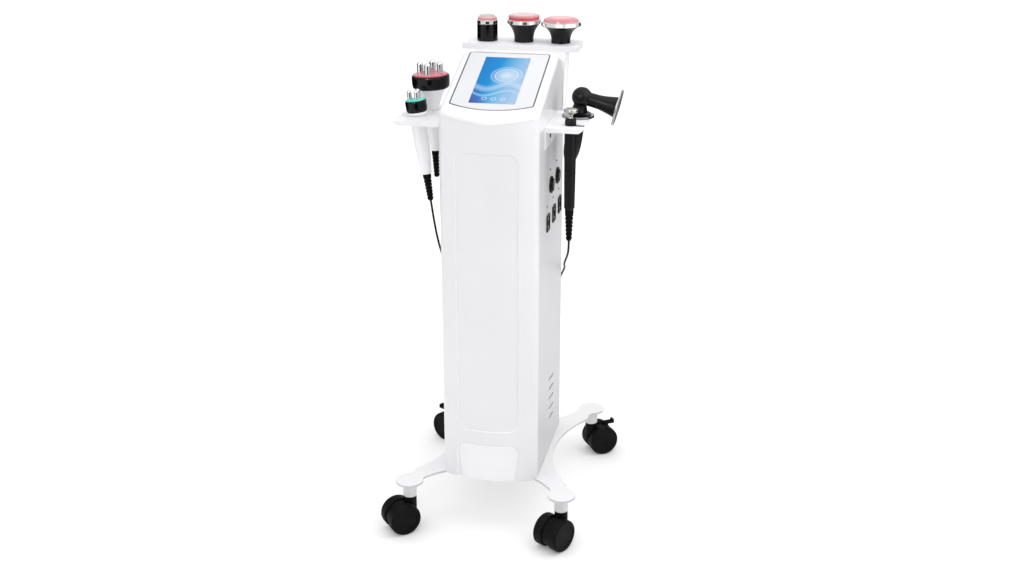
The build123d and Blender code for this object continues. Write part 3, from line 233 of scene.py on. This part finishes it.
# painted shade: the plate's upright cut edges wear a greyer copy of its powder coat, standing in for the shade
# on them, so the rim draws a line round the plate
edge_coat_painted_shade = worked_surface("powder_coated_steel_edge_painted_shade", "#C6C6C8", "#CBCBCD", rough=0.42, grain_mm=0.67,
                             depth=0.12, drift_mm=125, specular=0.3)
# powder coat on the turned collars, a little greyer and duller than the plate above
coated_collar = worked_surface("powder_coated_turned_steel", "#D2D2D3", "#DADADB", rough=0.45, grain_mm=0.67,
                               depth=0.12, drift_mm=33.3, specular=0.3)
wear("base_plate", material=coated_plate)
wear_on("base_plate", edge_coat_painted_shade, lambda face: abs(face.normal.z) < flat_share)
wear("caster_collars", material=coated_collar)

# Cabinet shell and back panel
# A folded 2 mm steel shell with vents and socket holes, and a flat sheet that closes its back. Both are
# powder-coated before the fittings go in.
# powder coat on large folded sheet: an even satin grey-white, greyer than the trays' coat of the same powder as
# painted shade on the shell's sides and back; its tone barely drifts from edge to edge
sheet_coat_painted_shade = worked_surface("powder_coated_steel_sheet_painted_shade", "#CDCDCF", "#D1D1D3", rough=0.42, grain_mm=0.67,
                              depth=0.12, drift_mm=167, specular=0.3)
wear("cabinet_shell", "back_panel", material=sheet_coat_painted_shade)

# Front cover and head cover
# A bulged front with a long shallow field and a kick recess, and the sloping console above it. Both are
# injection-moulded ABS skins that clip over the shell's edges.
kick_half_w, kick_top = 66, 210
field_half_w, field_top, field_left = 85, 900, -40
kick_facing, rim_facing, rim_rise, rim_turn = -0.9, -0.1, 0.2, 0.1
# moulded ABS: a cool semi-gloss white with a soft broad sheen and hardly any grain,
# only faint flow marks 2.4 mm wide
moulded_abs = worked_surface("moulded_abs", "#E5E5E8", "#E8E8EB", rough=0.3, grain_mm=2.4, depth=0.03,
                             drift_mm=200, coat=0.15, specular=0.3)
# painted highlight: the kick panel and the recess rims that face up or to the right wear a brighter copy of the
# moulding, standing in for the light that catches them
abs_painted_highlight = worked_surface("moulded_abs_painted_highlight", "#EEEEF1", "#F1F1F3", rough=0.3, grain_mm=2.4, depth=0.03,
                              drift_mm=200, coat=0.15, specular=0.3)


def takes_painted_highlight(face):
    """The kick panel, and the rims of the recesses that face up or to the right: the faces that get the painted
    highlight.
    """
    x, _, z = (face.center - place(0, 0, 0)) * mm_per_m
    if abs(x) < kick_half_w and z < kick_top and face.normal.y < kick_facing:
        return True
    on_rim = face.normal.z > rim_rise or face.normal.x > rim_turn and x < field_left
    return abs(x) < field_half_w and z < field_top and face.normal.y < rim_facing and on_rim


wear("front_cover", "head_cover", material=moulded_abs)
wear_on("front_cover", abs_painted_highlight, takes_painted_highlight)

# Shelves and rack tray
# Three trays bent from 2 mm steel sheet and powder-coated: one screwed to each side of the shell, and one on a
# bracket behind the head. Their holes and slot hold the handpieces.
# powder coat on small bent trays: the brightest white of the sheet parts, satin
coated_tray = worked_surface("powder_coated_steel_tray", "#ECECEE", "#EFEFF1", rough=0.42, grain_mm=0.67,
                             depth=0.12, drift_mm=167, specular=0.3)
wear("rack_tray", "right_shelf", "left_shelf", material=coated_tray)

# Screen
# An upright touch panel behind a white printed fascia with a bowed lower edge, set in a thin grey rubber seal
# in the console's recess. The panel is lit and shows a generic picture of rings and waves.
lcd_width_share = 0.53
# back-printed polycarbonate: a smooth glossy white, cooler than the moulding around it
printed_fascia = worked_surface("printed_polycarbonate", "#D3D4D8", "#DADBDF", rough=0.2, grain_mm=1.7,
                                depth=0.02, drift_mm=250, coat=0.2, specular=0.3)
# moulded rubber seal: a dull mid grey that reads as a thin drawn line; its 0.1 mm grain is too fine to show and
# is drawn 0.56 mm wide
moulded_seal = worked_surface("moulded_grey_rubber", "#55575B", "#64666B", rough=0.55, grain_mm=0.56, depth=0.2,
                              drift_mm=25, specular=0.2)
wear("screen_fascia", material=printed_fascia)
wear("screen_gasket", material=moulded_seal)


def soft_band(tree, value, centre, width, soft, strength):
    """A mask along the line where the value meets the centre, which fades out over the soft width."""
    off = add(tree, "Math", {0: value, 1: centre}, operation="SUBTRACT")
    off = add(tree, "Math", {0: off.outputs[0]}, operation="ABSOLUTE")
    band = add(tree, "MapRange", {"Value": off.outputs[0], "From Min": width, "From Max": width + soft,
                                  "To Min": strength, "To Max": 0.0})
    return band.outputs["Result"]


def distance_from(tree, face, u, v):
    """How far the picture's points lie from one of them, in heights of the picture."""
    away = add(tree, "VectorMath", {0: face, 1: (u, v, 0)}, operation="SUBTRACT")
    away = add(tree, "VectorMath", {0: away.outputs[0], 1: (lcd_width_share, 1, 0)}, operation="MULTIPLY")
    return add(tree, "VectorMath", {0: away.outputs[0]}, operation="LENGTH").outputs["Value"]


def lit_picture():
    """The lit panel's picture, painted layer by layer over its blues."""
    material = bare_material("lit_lcd_glass")
    tree = material.node_tree
    face = add(tree, "TexCoord").outputs["Generated"]
    part = add(tree, "SeparateXYZ", {"Vector": face})
    # the blues run from the top left to the lower right, where they have faded to pale
    across = add(tree, "VectorMath", {0: face, 1: (0.78, -0.22, 0)}, operation="DOT_PRODUCT")
    across = add(tree, "Math", {0: across.outputs["Value"], 1: 0.22}, operation="ADD")
    blues = add(tree, "ValToRGB", {"Fac": across.outputs[0]},
                stops=((0.0, "#007CCB"), (0.18, "#0086D2"), (0.34, "#008FD6"), (0.5, "#5AAEE2"),
                       (0.7, "#90C0E8"), (1.0, "#B2CFEC")))
    # a violet shade fills the lower left corner
    corner = add(tree, "VectorMath", {0: face, 1: (-1.615, -2.21, 0)}, operation="DOT_PRODUCT")
    corner = add(tree, "Math", {0: corner.outputs["Value"], 1: 0.85}, operation="ADD")
    # two waves cross the picture
    swing = add(tree, "Math", {0: part.outputs["X"], 1: 6.3}, operation="MULTIPLY")
    swing = add(tree, "Math", {0: swing.outputs[0]}, operation="SINE")
    wave = add(tree, "Math", {0: swing.outputs[0], 1: 0.06, 2: part.outputs["Y"]}, operation="MULTIPLY_ADD")
    wave = wave.outputs[0]
    # a pale glow has two thin rings round it
    far = distance_from(tree, face, 0.6, 0.6)
    glow = add(tree, "MapRange", {"Value": far, "From Min": 0.0, "From Max": 0.2, "To Min": 0.75,
                                  "To Max": 0.0})
    layers = [
        (corner.outputs[0], "#5A2C9C"),
        (soft_band(tree, wave, centre=0.36, width=0.015, soft=0.06, strength=0.35), "#E6F3FF"),
        (soft_band(tree, wave, centre=0.22, width=0.006, soft=0.03, strength=0.4), "#CFE6FF"),
        (glow.outputs["Result"], "#F2FAFF"),
        (soft_band(tree, far, centre=0.13, width=0.003, soft=0.004, strength=0.7), "#F4FAFF"),
        (soft_band(tree, far, centre=0.175, width=0.002, soft=0.004, strength=0.45), "#F4FAFF")]
    # three round marks stand in a row, low on the picture
    for u in (0.3, 0.5, 0.7):
        mark = distance_from(tree, face, u, 0.1)
        mark = soft_band(tree, mark, centre=0.026, width=0.003, soft=0.004, strength=0.65)
        layers.append((mark, "#EAF4FF"))
    picture = blues.outputs["Color"]
    for mask, code in layers:
        picture = add(tree, "Mix", {"Factor": mask, "A": picture, "B": colour(code)},
                      data_type="RGBA").outputs["Result"]
    body = add(tree, "BsdfPrincipled", {
        "Emission Color": picture, "Base Color": colour("#050507"), "Roughness": 0.12, "Emission Strength": 1.0,
        "Specular IOR Level": 0.08})
    add(tree, "OutputMaterial", {"Surface": body.outputs["BSDF"]})
    return material


# glass over a lit liquid crystal: black when dark, and here as bright as the picture behind it
wear("lcd_panel", material=lit_picture())

# Sockets, lamps and fittings
# Moulded black nylon sockets with plated contacts snap into the right side under small domed lamps. The mains
# inlet, its rocker, the fan and the cord glands are black nylon too; blackened screws hold the shelves.
socket_side_x = 103
round_socket_y, round_socket_z = (-10, 70), 790.5
contact_circle, contact_reach = 4.5, 1.8
sleeve_inner, sleeve_outer, sleeve_facing = 9.3, 10.4, 0.5
flat_socket_y, flat_socket_z = (-43, 32, 107), 711.0
flat_pin_rise, flat_pin_reach = 9.5, 3.3
# glass-filled nylon, moulded: near-black with a dull, slightly rough skin; its 0.2 mm grain is too fine to show
# and is drawn 0.71 mm wide
moulded_nylon = worked_surface("moulded_nylon", "#0C0C0E", "#151517", rough=0.42, grain_mm=0.71, depth=0.2,
                               drift_mm=14.3, specular=0.25)
# nickel-plated brass, turned: a warm pale metal that glints in the dark sockets; its 0.05 mm turning lines are
# drawn 0.5 mm wide to show
plated_brass = worked_surface("nickel_plated_brass", "#C9C6BC", "#DAD8D0", rough=0.3, grain_mm=0.5, depth=0.05,
                              drift_mm=11.1, metallic=1.0)
# smoked acrylic, moulded: a dark grey dome with a wet-looking gloss and a faint ripple 1.1 mm wide
smoked_acrylic = worked_surface("moulded_smoked_acrylic", "#4A4C50", "#5A5C61", rough=0.25, grain_mm=1.1,
                                depth=0.02, drift_mm=8.3, coat=0.6)
# blackened steel: screw heads that read as small dark dots with a metal edge; the 0.1 mm grain is drawn
# 0.62 mm wide to show
blackened_steel = worked_surface("blackened_turned_steel", "#1E1E20", "#2C2C2F", rough=0.4, grain_mm=0.62,
                                 depth=0.1, drift_mm=6.7, metallic=0.6, specular=0.3)


def plated(face):
    """The contacts of the sockets and the bore sleeves of the round ones."""
    x, y, z = (face.center - place(0, 0, 0)) * mm_per_m
    for at in round_socket_y:
        away = math.hypot(y - at, z - round_socket_z)
        contact = abs(away - contact_circle) < contact_reach
        sleeve = sleeve_inner < away < sleeve_outer and abs(face.normal.x) < sleeve_facing
        if x > socket_side_x and (contact or sleeve):
            return True
    flat_pins = [math.hypot(y - at, abs(z - flat_socket_z) - flat_pin_rise) for at in flat_socket_y]
    return x > socket_side_x and min(flat_pins) < flat_pin_reach


wear("side_sockets", "power_inlet", "fan_frame", "fan_rotor", "rocker_switch", "cord_glands",
     material=moulded_nylon)
wear_on("side_sockets", plated_brass, plated)
wear("socket_lamps", material=smoked_acrylic)
wear("panel_screws", material=blackened_steel)

# Deck, power supply and boards
# Inside the cabinet a bent zinc-plated deck carries the power supply's case of the same sheet, and two driver
# boards stand in rails on it. They show only through the vents and the guard.
# zinc-plated steel: a mid grey metal with cloudy patches 40 mm across
plated_sheet = worked_surface("zinc_plated_steel", "#9FA2A6", "#B0B3B6", rough=0.45, grain_mm=1.4, depth=0.1,
                              drift_mm=40, metallic=0.9)
# solder-masked fibreglass: a deep satin green with a slight weave; its 0.5 mm threads are drawn 1.1 mm wide to
# show
masked_board = worked_surface("solder_masked_fibreglass", "#1F5B34", "#2A6B40", rough=0.5, grain_mm=1.1,
                              depth=0.2, drift_mm=16.7)
wear("equipment_deck", "power_supply", material=plated_sheet)
wear("driver_boards", material=masked_board)

# Vent filter
# A mat of pale polyester felt, pressed into shallow upright pleats and held behind the side vents so that the
# slots show light grey and no dust gets in.
filter_x, filter_y, filter_z = 107.4, -10, 186
filter_w, filter_h, filter_t, pleat_depth = 72, 134, 1.5, 0.6
pleats, filter_rows = 12, 24
# pressed polyester felt: a matt, fibrous pale grey without any gloss; its 0.02 mm fibres are too fine to show
# and are drawn as tufts 1.1 mm wide
pressed_felt = worked_surface("pressed_polyester_felt", "#B4B5B8", "#C2C3C5", rough=0.9, grain_mm=1.1,
                              depth=0.6, drift_mm=5, specular=0.1)
filter_front = []
for row in range(filter_rows + 1):
    for fold in range(pleats + 1):
        crease = pleat_depth if fold % 2 else 0
        filter_front.append(place(filter_x - crease, filter_y + filter_w * fold / pleats,
                                  filter_z + filter_h * row / filter_rows))
filter_back = [point - Vector((filter_t / mm_per_m, 0, 0)) for point in filter_front]
behind, wide = len(filter_front), pleats + 1
faces = []
for row in range(filter_rows):
    for fold in range(pleats):
        a = row * wide + fold
        faces.append((a, a + 1, a + wide + 1, a + wide))
        faces.append((behind + a, behind + a + wide, behind + a + wide + 1, behind + a + 1))
for fold in range(pleats):
    a, b = fold, filter_rows * wide + fold
    faces.append((a, behind + a, behind + a + 1, a + 1))
    faces.append((b, b + 1, behind + b + 1, behind + b))
for row in range(filter_rows):
    a, b = row * wide, row * wide + pleats
    faces.append((a, a + wide, behind + a + wide, behind + a))
    faces.append((b, behind + b, behind + b + wide, b + wide))
filter_mesh = bpy.data.meshes.new("vent_filter")
filter_mesh.from_pydata(filter_front + filter_back, [], faces)
filter_mesh.materials.append(pressed_felt)
vent_filter = bpy.data.objects.new("vent_filter", filter_mesh)
bpy.context.scene.collection.objects.link(vent_filter)
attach(vent_filter, "root")

# Casters
# Four bought twin-wheel casters: a moulded nylon hood on a steel stem, two wheels with polyurethane treads on
# one axle, and a snap-on brake pedal at each rear one.
# moulded nylon hood: a plain near-black with a spark-eroded grain, which is 0.2 mm wide and is drawn 0.77 mm
# wide to show
grained_nylon = worked_surface("moulded_grained_nylon", "#08080A", "#0F0F10", rough=0.5, grain_mm=0.77,
                               depth=0.18, drift_mm=22.2, specular=0.08)
# cast polyurethane wheel: as dark, a little duller and softer at the edges; its 0.1 mm pores are drawn 0.62 mm
# wide to show
cast_wheel = worked_surface("cast_polyurethane", "#0A0A0B", "#131314", rough=0.5, grain_mm=0.62, depth=0.2,
                            drift_mm=20, specular=0.08)
for corner in ("front_left", "front_right", "rear_left", "rear_right"):
    wear("caster_hood_" + corner, material=grained_nylon)
    wear("caster_wheels_" + corner, material=cast_wheel)
wear("brake_pedal_rear_left", "brake_pedal_rear_right", material=grained_nylon)

# Small and large radio frequency handpieces
# Moulded white ABS grips that flare into a cup, a glossy black band pressed round the cup, a tinted acrylic
# face, chromed brass posts that stand in it, and a ribbed rubber relief at the foot.
# moulded ABS grip: a warm bright white with a clear soft gloss and faint flow marks 2 mm wide
gloss_abs = worked_surface("moulded_gloss_abs", "#F4F4F5", "#F7F7F8", rough=0.25, grain_mm=2.0, depth=0.03,
                           drift_mm=55.6, coat=0.2, specular=0.3)
# polished black ABS: nearly mirror-smooth, with a faint ripple 1.1 mm wide, so it shows crisp pale reflections
# on black
polished_black_abs = worked_surface("polished_black_abs", "#030304", "#060607", rough=0.2, grain_mm=1.1,
                                    depth=0.03, drift_mm=25, specular=0.26)
# moulded rubber relief: flat black, so only the ribs' own shade shows; its 0.1 mm grain is drawn 0.59 mm wide
# to show
moulded_rubber = worked_surface("moulded_black_rubber", "#070708", "#0E0E0F", rough=0.6, grain_mm=0.59,
                                depth=0.2, drift_mm=16.7, specular=0.08)
# chromed brass: a bright mirror with sharp dark and white bands; its fine polishing marks are drawn 1.4 mm wide
# to show
chromed_brass = worked_surface("chromed_brass", "#D7D8DA", "#E4E5E6", rough=0.09, grain_mm=1.4, depth=0.02,
                               drift_mm=33.3, spread=0.03, metallic=1.0)
# moulded acrylic: clear tints over a faint ripple from the mould, which catches the light in soft patches
acrylic_ripple_mm = 3.3


def tinted_acrylic_painted_glow(name, rise, rings, glow=0.05, rough=0.16):
    """Moulded tinted acrylic: tones from its foot to its top, and outwards from the middle of its top, which
    also glow as painted light.
    """
    material = bare_material(name)
    tree = material.node_tree
    where = add(tree, "TexCoord")
    height = add(tree, "SeparateXYZ", {"Vector": where.outputs["Generated"]}).outputs["Z"]
    axis = add(tree, "CombineXYZ", {"X": 0.5, "Y": 0.5, "Z": height})
    radius = add(tree, "VectorMath", {0: where.outputs["Generated"], 1: axis.outputs["Vector"]},
                 operation="DISTANCE")
    side = add(tree, "ValToRGB", {"Fac": height}, stops=rise)
    top = add(tree, "ValToRGB", {"Fac": radius.outputs["Value"]}, stops=rings)
    on_top = add(tree, "MapRange", {"Value": height, "From Min": 0.72, "From Max": 0.86})
    tint = add(tree, "Mix", {"Factor": on_top.outputs["Result"], "A": side.outputs["Color"],
                             "B": top.outputs["Color"]}, data_type="RGBA").outputs["Result"]
    fine = add(tree, "TexNoise", {"Vector": where.outputs["Object"], "Scale": mm_per_m / acrylic_ripple_mm,
                                  "Detail": 2.0})
    bump = add(tree, "Bump", {"Height": fine.outputs["Fac"], "Strength": 0.05, "Distance": grain_height_m})
    # the emission is painted glow: the acrylic shines in its own tints though no lamp is inside it
    body = add(tree, "BsdfPrincipled", {
        "Base Color": tint, "Emission Color": tint, "Normal": bump.outputs["Normal"], "Roughness": rough,
        "Emission Strength": glow, "Subsurface Weight": 0.2, "Subsurface Scale": 0.003, "Coat Weight": 0.15,
        "Coat Roughness": 0.05, "Specular IOR Level": 0.2})
    add(tree, "OutputMaterial", {"Surface": body.outputs["BSDF"]})
    return material


# tinted acrylic, moulded: teal and rose faces, paler in the middle and darker at the rims, that glow a little
# with painted light in their own tints
teal_acrylic = tinted_acrylic_painted_glow(
    "moulded_teal_acrylic", ((0.0, "#2FB5A6"), (1.0, "#4FD9C6")),
    ((0.0, "#66EBD9"), (0.36, "#57E6D2"), (0.46, "#40D2BE"), (0.5, "#33BBA9")), glow=0.2)
rose_acrylic = tinted_acrylic_painted_glow(
    "moulded_rose_acrylic", ((0.0, "#B04552"), (1.0, "#C9606D")),
    ((0.0, "#D98590"), (0.26, "#D97783"), (0.4, "#CF6673"), (0.5, "#BC4F5D")))
wear("small_rf_handle", "large_rf_handle", material=gloss_abs)
wear("small_rf_band", "large_rf_band", material=polished_black_abs)
wear("small_rf_face", material=teal_acrylic)
wear("large_rf_face", material=rose_acrylic)
wear("small_rf_electrodes", "large_rf_electrodes", material=chromed_brass)
wear("small_rf_relief", "large_rf_relief", "face_rf_relief", material=moulded_rubber)

# Slim facial handpiece
# A round black ABS handle with a soft coat, and a turned cap of polished nickel silver screwed on its top.
# It slides sideways out of the slot in the right shelf.
# soft-touch coat on ABS: a deep black with a broad, velvety sheen; its 0.05 mm grain is drawn 0.67 mm wide to
# show
soft_coat_abs = worked_surface("soft_coated_abs", "#070708", "#0D0D0E", rough=0.4, grain_mm=0.67, depth=0.15,
                               drift_mm=25, specular=0.2)
# polished nickel silver: a greyer, warmer mirror than chrome, with polishing marks drawn 1.4 mm wide to show
nickel_silver = worked_surface("polished_nickel_silver", "#A5A4A2", "#B9B8B6", rough=0.14, grain_mm=1.4,
                               depth=0.03, drift_mm=16.7, metallic=1.0)
wear("face_rf_handle", material=soft_coat_abs)
wear("face_rf_cap", material=nickel_silver)

# Ball-headed handpiece and its ring
# A moulded black grip, ball and flared barrel in one, with a ground steel disc seated on the barrel's end. It
# stands in a turned and polished steel ring on the right shelf.
# moulded satin nylon: jet black with one soft round highlight on the ball; its 0.1 mm grain is drawn 0.67 mm
# wide to show
satin_nylon = worked_surface("moulded_satin_nylon", "#040405", "#09090A", rough=0.36, grain_mm=0.67, depth=0.12,
                             drift_mm=25, specular=0.2)
# ground steel: a pale grey with a blurred, even shine; the grit's 0.05 mm lines are drawn 1.1 mm wide to show
ground_steel = worked_surface("ground_steel", "#A2A3A5", "#B4B5B7", rough=0.34, grain_mm=1.1, depth=0.06,
                              drift_mm=20, metallic=0.8)
# polished steel: a mirror coloured dark as a painted reflection of the black pieces above it; its fine polishing
# marks are drawn
# 1.1 mm wide to show
polished_steel_painted_reflection = worked_surface("polished_steel_painted_reflection", "#77787B", "#8B8C8F", rough=0.18, grain_mm=1.1, depth=0.04,
                                drift_mm=16.7, metallic=1.0)
wear("ball_head_grip", material=satin_nylon)
wear("ball_head_disc", material=ground_steel)
wear("holder_ring", material=polished_steel_painted_reflection)

# Rack handpieces
# Three heads in holes of the rack tray: a polished black body on a white ABS handle, a brushed aluminium ring
# pressed on the body, and a pink tinted acrylic lens glued in the ring.
rack_handle_top_m = 1.066
# brushed aluminium: bright bands with slightly blurred edges; its 0.05 mm brush lines are drawn 1.1 mm wide to
# show
brushed_aluminium = worked_surface("brushed_aluminium", "#C9CACC", "#DADBDC", rough=0.18, grain_mm=1.1,
                                   depth=0.05, drift_mm=25, metallic=1.0)
# tinted acrylic, moulded: pinks that pale to grey or rose on top, and glow faintly with painted light in their
# own tints
narrow_acrylic = tinted_acrylic_painted_glow(
    "moulded_grey_pink_acrylic", ((0.0, "#C98C93"), (0.3, "#D3888F"), (0.55, "#D9A5A6"), (0.8, "#B9B3AE")),
    ((0.0, "#A9A8A3"), (0.3, "#ADABA6"), (0.4, "#B9B0AC"), (0.5, "#C9A9A8")))
raised_acrylic = tinted_acrylic_painted_glow(
    "moulded_red_pink_acrylic", ((0.0, "#D28B8F"), (0.14, "#C24A53"), (0.5, "#C4545D"), (0.7, "#C98084")),
    ((0.0, "#CCA4A6"), (0.32, "#D1ADAE"), (0.42, "#C0999B"), (0.5, "#B88286")), rough=0.08)
wide_acrylic = tinted_acrylic_painted_glow(
    "moulded_pale_pink_acrylic", ((0.0, "#CF969A"), (0.5, "#CA8087"), (0.8, "#CA767E")),
    ((0.0, "#D79BA0"), (0.3, "#D4959A"), (0.34, "#BE646C"), (0.4, "#C87F85"), (0.5, "#CC8F94")))
for head, lens in (("narrow", narrow_acrylic), ("raised", raised_acrylic), ("wide", wide_acrylic)):
    wear(head + "_head_body", material=polished_black_abs)
    wear_on(head + "_head_body", gloss_abs, lambda face: face.center.z < rack_handle_top_m)
    wear(head + "_head_ring", material=brushed_aluminium)
    wear(head + "_head_lens", material=lens)

# Floor
# A wide sheet of matt white studio paper, which keeps the machine's shadow. Where the camera or a gloss sees it
# beyond the machine it is lifted to white, and its light on the machine stays as it is.
floor_half_m = 30.0
plain_white = (1.0, 1.0, 1.0, 1)
lift_starts_m, lift_ends_m, lift_most = 0.25, 1.4, 0.22
floor_mesh = bpy.data.meshes.new("studio_floor")
floor_mesh.from_pydata([(-floor_half_m, -floor_half_m, 0), (floor_half_m, -floor_half_m, 0),
                        (floor_half_m, floor_half_m, 0), (-floor_half_m, floor_half_m, 0)], [], [(0, 1, 2, 3)])
floor = bpy.data.objects.new("studio_floor", floor_mesh)
bpy.context.scene.collection.objects.link(floor)
# uncoated paper: white and quite matt, with no grain that the camera could see
studio_paper = worked_surface("uncoated_paper", "#FDFDFD", "#FFFFFF", rough=0.8, grain_mm=25, depth=0.0,
                              drift_mm=1000, specular=0.1)


def seen_directly(tree):
    """One for rays of the camera, of reflections and through clear pieces, and none for light on the machine."""
    rays = add(tree, "LightPath")
    seen = add(tree, "Math", {0: rays.outputs["Is Camera Ray"], 1: rays.outputs["Is Glossy Ray"]},
               operation="MAXIMUM")
    seen = add(tree, "Math", {0: seen.outputs[0], 1: rays.outputs["Is Transmission Ray"]}, operation="MAXIMUM")
    return seen.outputs[0]


paper_tree = studio_paper.node_tree
on_paper = add(paper_tree, "TexCoord")
away = add(paper_tree, "VectorMath", {0: on_paper.outputs["Object"]}, operation="LENGTH")
far = add(paper_tree, "MapRange", {"Value": away.outputs["Value"], "From Min": lift_starts_m,
                                   "From Max": lift_ends_m, "To Min": 0.0, "To Max": lift_most})
lift = add(paper_tree, "Math", {0: seen_directly(paper_tree), 1: far.outputs["Result"]}, operation="MULTIPLY")
paper_surface = paper_tree.nodes["Principled BSDF"]
paper_surface.inputs["Emission Color"].default_value = plain_white
paper_tree.links.new(lift.outputs[0], paper_surface.inputs["Emission Strength"])
floor_mesh.materials.append(studio_paper)

# Sky
# The white walls and ceiling of a light tent. They show as plain white, and light the machine at a plain level
# that falls off towards its right side, which the photograph shows a little darker.
darker_side = (0.95, -0.1, -0.3)
tent_left, tent_right = 0.98, 0.52
world = bpy.data.worlds.new("light_tent")
bpy.context.scene.world = world
world.use_nodes = True
tent = world.node_tree
backdrop = tent.nodes["Background"]
backdrop.inputs["Color"].default_value = plain_white
around = add(tent, "TexCoord")
right = add(tent, "VectorMath", {0: around.outputs["Generated"], 1: darker_side}, operation="DOT_PRODUCT")
level = add(tent, "MapRange", {"Value": right.outputs["Value"], "From Min": -0.2, "From Max": 0.9,
                               "To Min": tent_left, "To Max": tent_right})
strength = add(tent, "Mix", {"Factor": seen_directly(tent), "A": level.outputs["Result"], "B": 1.0})
tent.links.new(strength.outputs["Result"], backdrop.inputs["Strength"])

# Lamps
# Square soft boxes: one before the machine, one above it and one near its right side, and a small one
# that only gloss and metal catch.
machine_middle = (0, 0, 600)
head_right = (150, 0, 1000)


def soft_box(name, at, size_m, watts, target=machine_middle):
    """A square lamp that faces a point on the machine."""
    data = bpy.data.lights.new(name, "AREA")
    data.shape = "SQUARE"
    data.size = size_m
    data.energy = watts
    lamp = bpy.data.objects.new(name, data)
    bpy.context.scene.collection.objects.link(lamp)
    lamp.location = place(*at)
    lamp.rotation_euler = (place(*target) - lamp.location).to_track_quat("-Z", "Y").to_euler()
    return lamp


soft_box("key", (500, -3300, 3300), size_m=1.6, watts=17)
soft_box("top", (0, 0, 3500), size_m=1.6, watts=11)
fill = soft_box("fill", (900, -100, 1500), size_m=1.0, watts=6)
fill.data.use_shadow = False
glint = soft_box("glint", (-520, -2850, 1950), size_m=0.5, watts=30, target=head_right)
glint.visible_diffuse = False

# Dark cards
# Upright black boards around the machine, out of sight, which put dark bands into polished metal and gloss.
# Each stands at a bearing, in degrees, from the camera's side.
card_distance_m = 1.9
# black flock: it swallows the light, so a reflection of it is plain dark
black_flock = worked_surface("black_flock", "#050505", "#080808", rough=0.9, grain_mm=25, depth=0.0,
                             drift_mm=1000, specular=0.0)


def dark_card(name, bearing, width_m, low_m, high_m):
    """An upright dark board that only reflections show."""
    turn = math.radians(bearing) + view_yaw
    out = Vector((math.sin(turn), -math.cos(turn), 0))
    side = Vector((out.y, -out.x, 0)) * width_m / 2
    middle = place(0, 0, 0) + out * card_distance_m
    foot, head = Vector((0, 0, low_m)), Vector((0, 0, high_m))
    mesh = bpy.data.meshes.new(name)
    mesh.from_pydata([middle - side + foot, middle + side + foot, middle + side + head, middle - side + head],
                     [], [(0, 1, 2, 3)])
    mesh.materials.append(black_flock)
    card = bpy.data.objects.new(name, mesh)
    bpy.context.scene.collection.objects.link(card)
    card.visible_camera = card.visible_diffuse = card.visible_shadow = card.visible_transmission = False


dark_card("front_card", bearing=0, width_m=1.6, low_m=0.1, high_m=1.5)
dark_card("left_card", bearing=-128, width_m=3.4, low_m=0.1, high_m=1.3)
dark_card("right_card", bearing=128, width_m=3.4, low_m=0.1, high_m=1.3)

bpy.context.scene.view_settings.view_transform = "Standard"
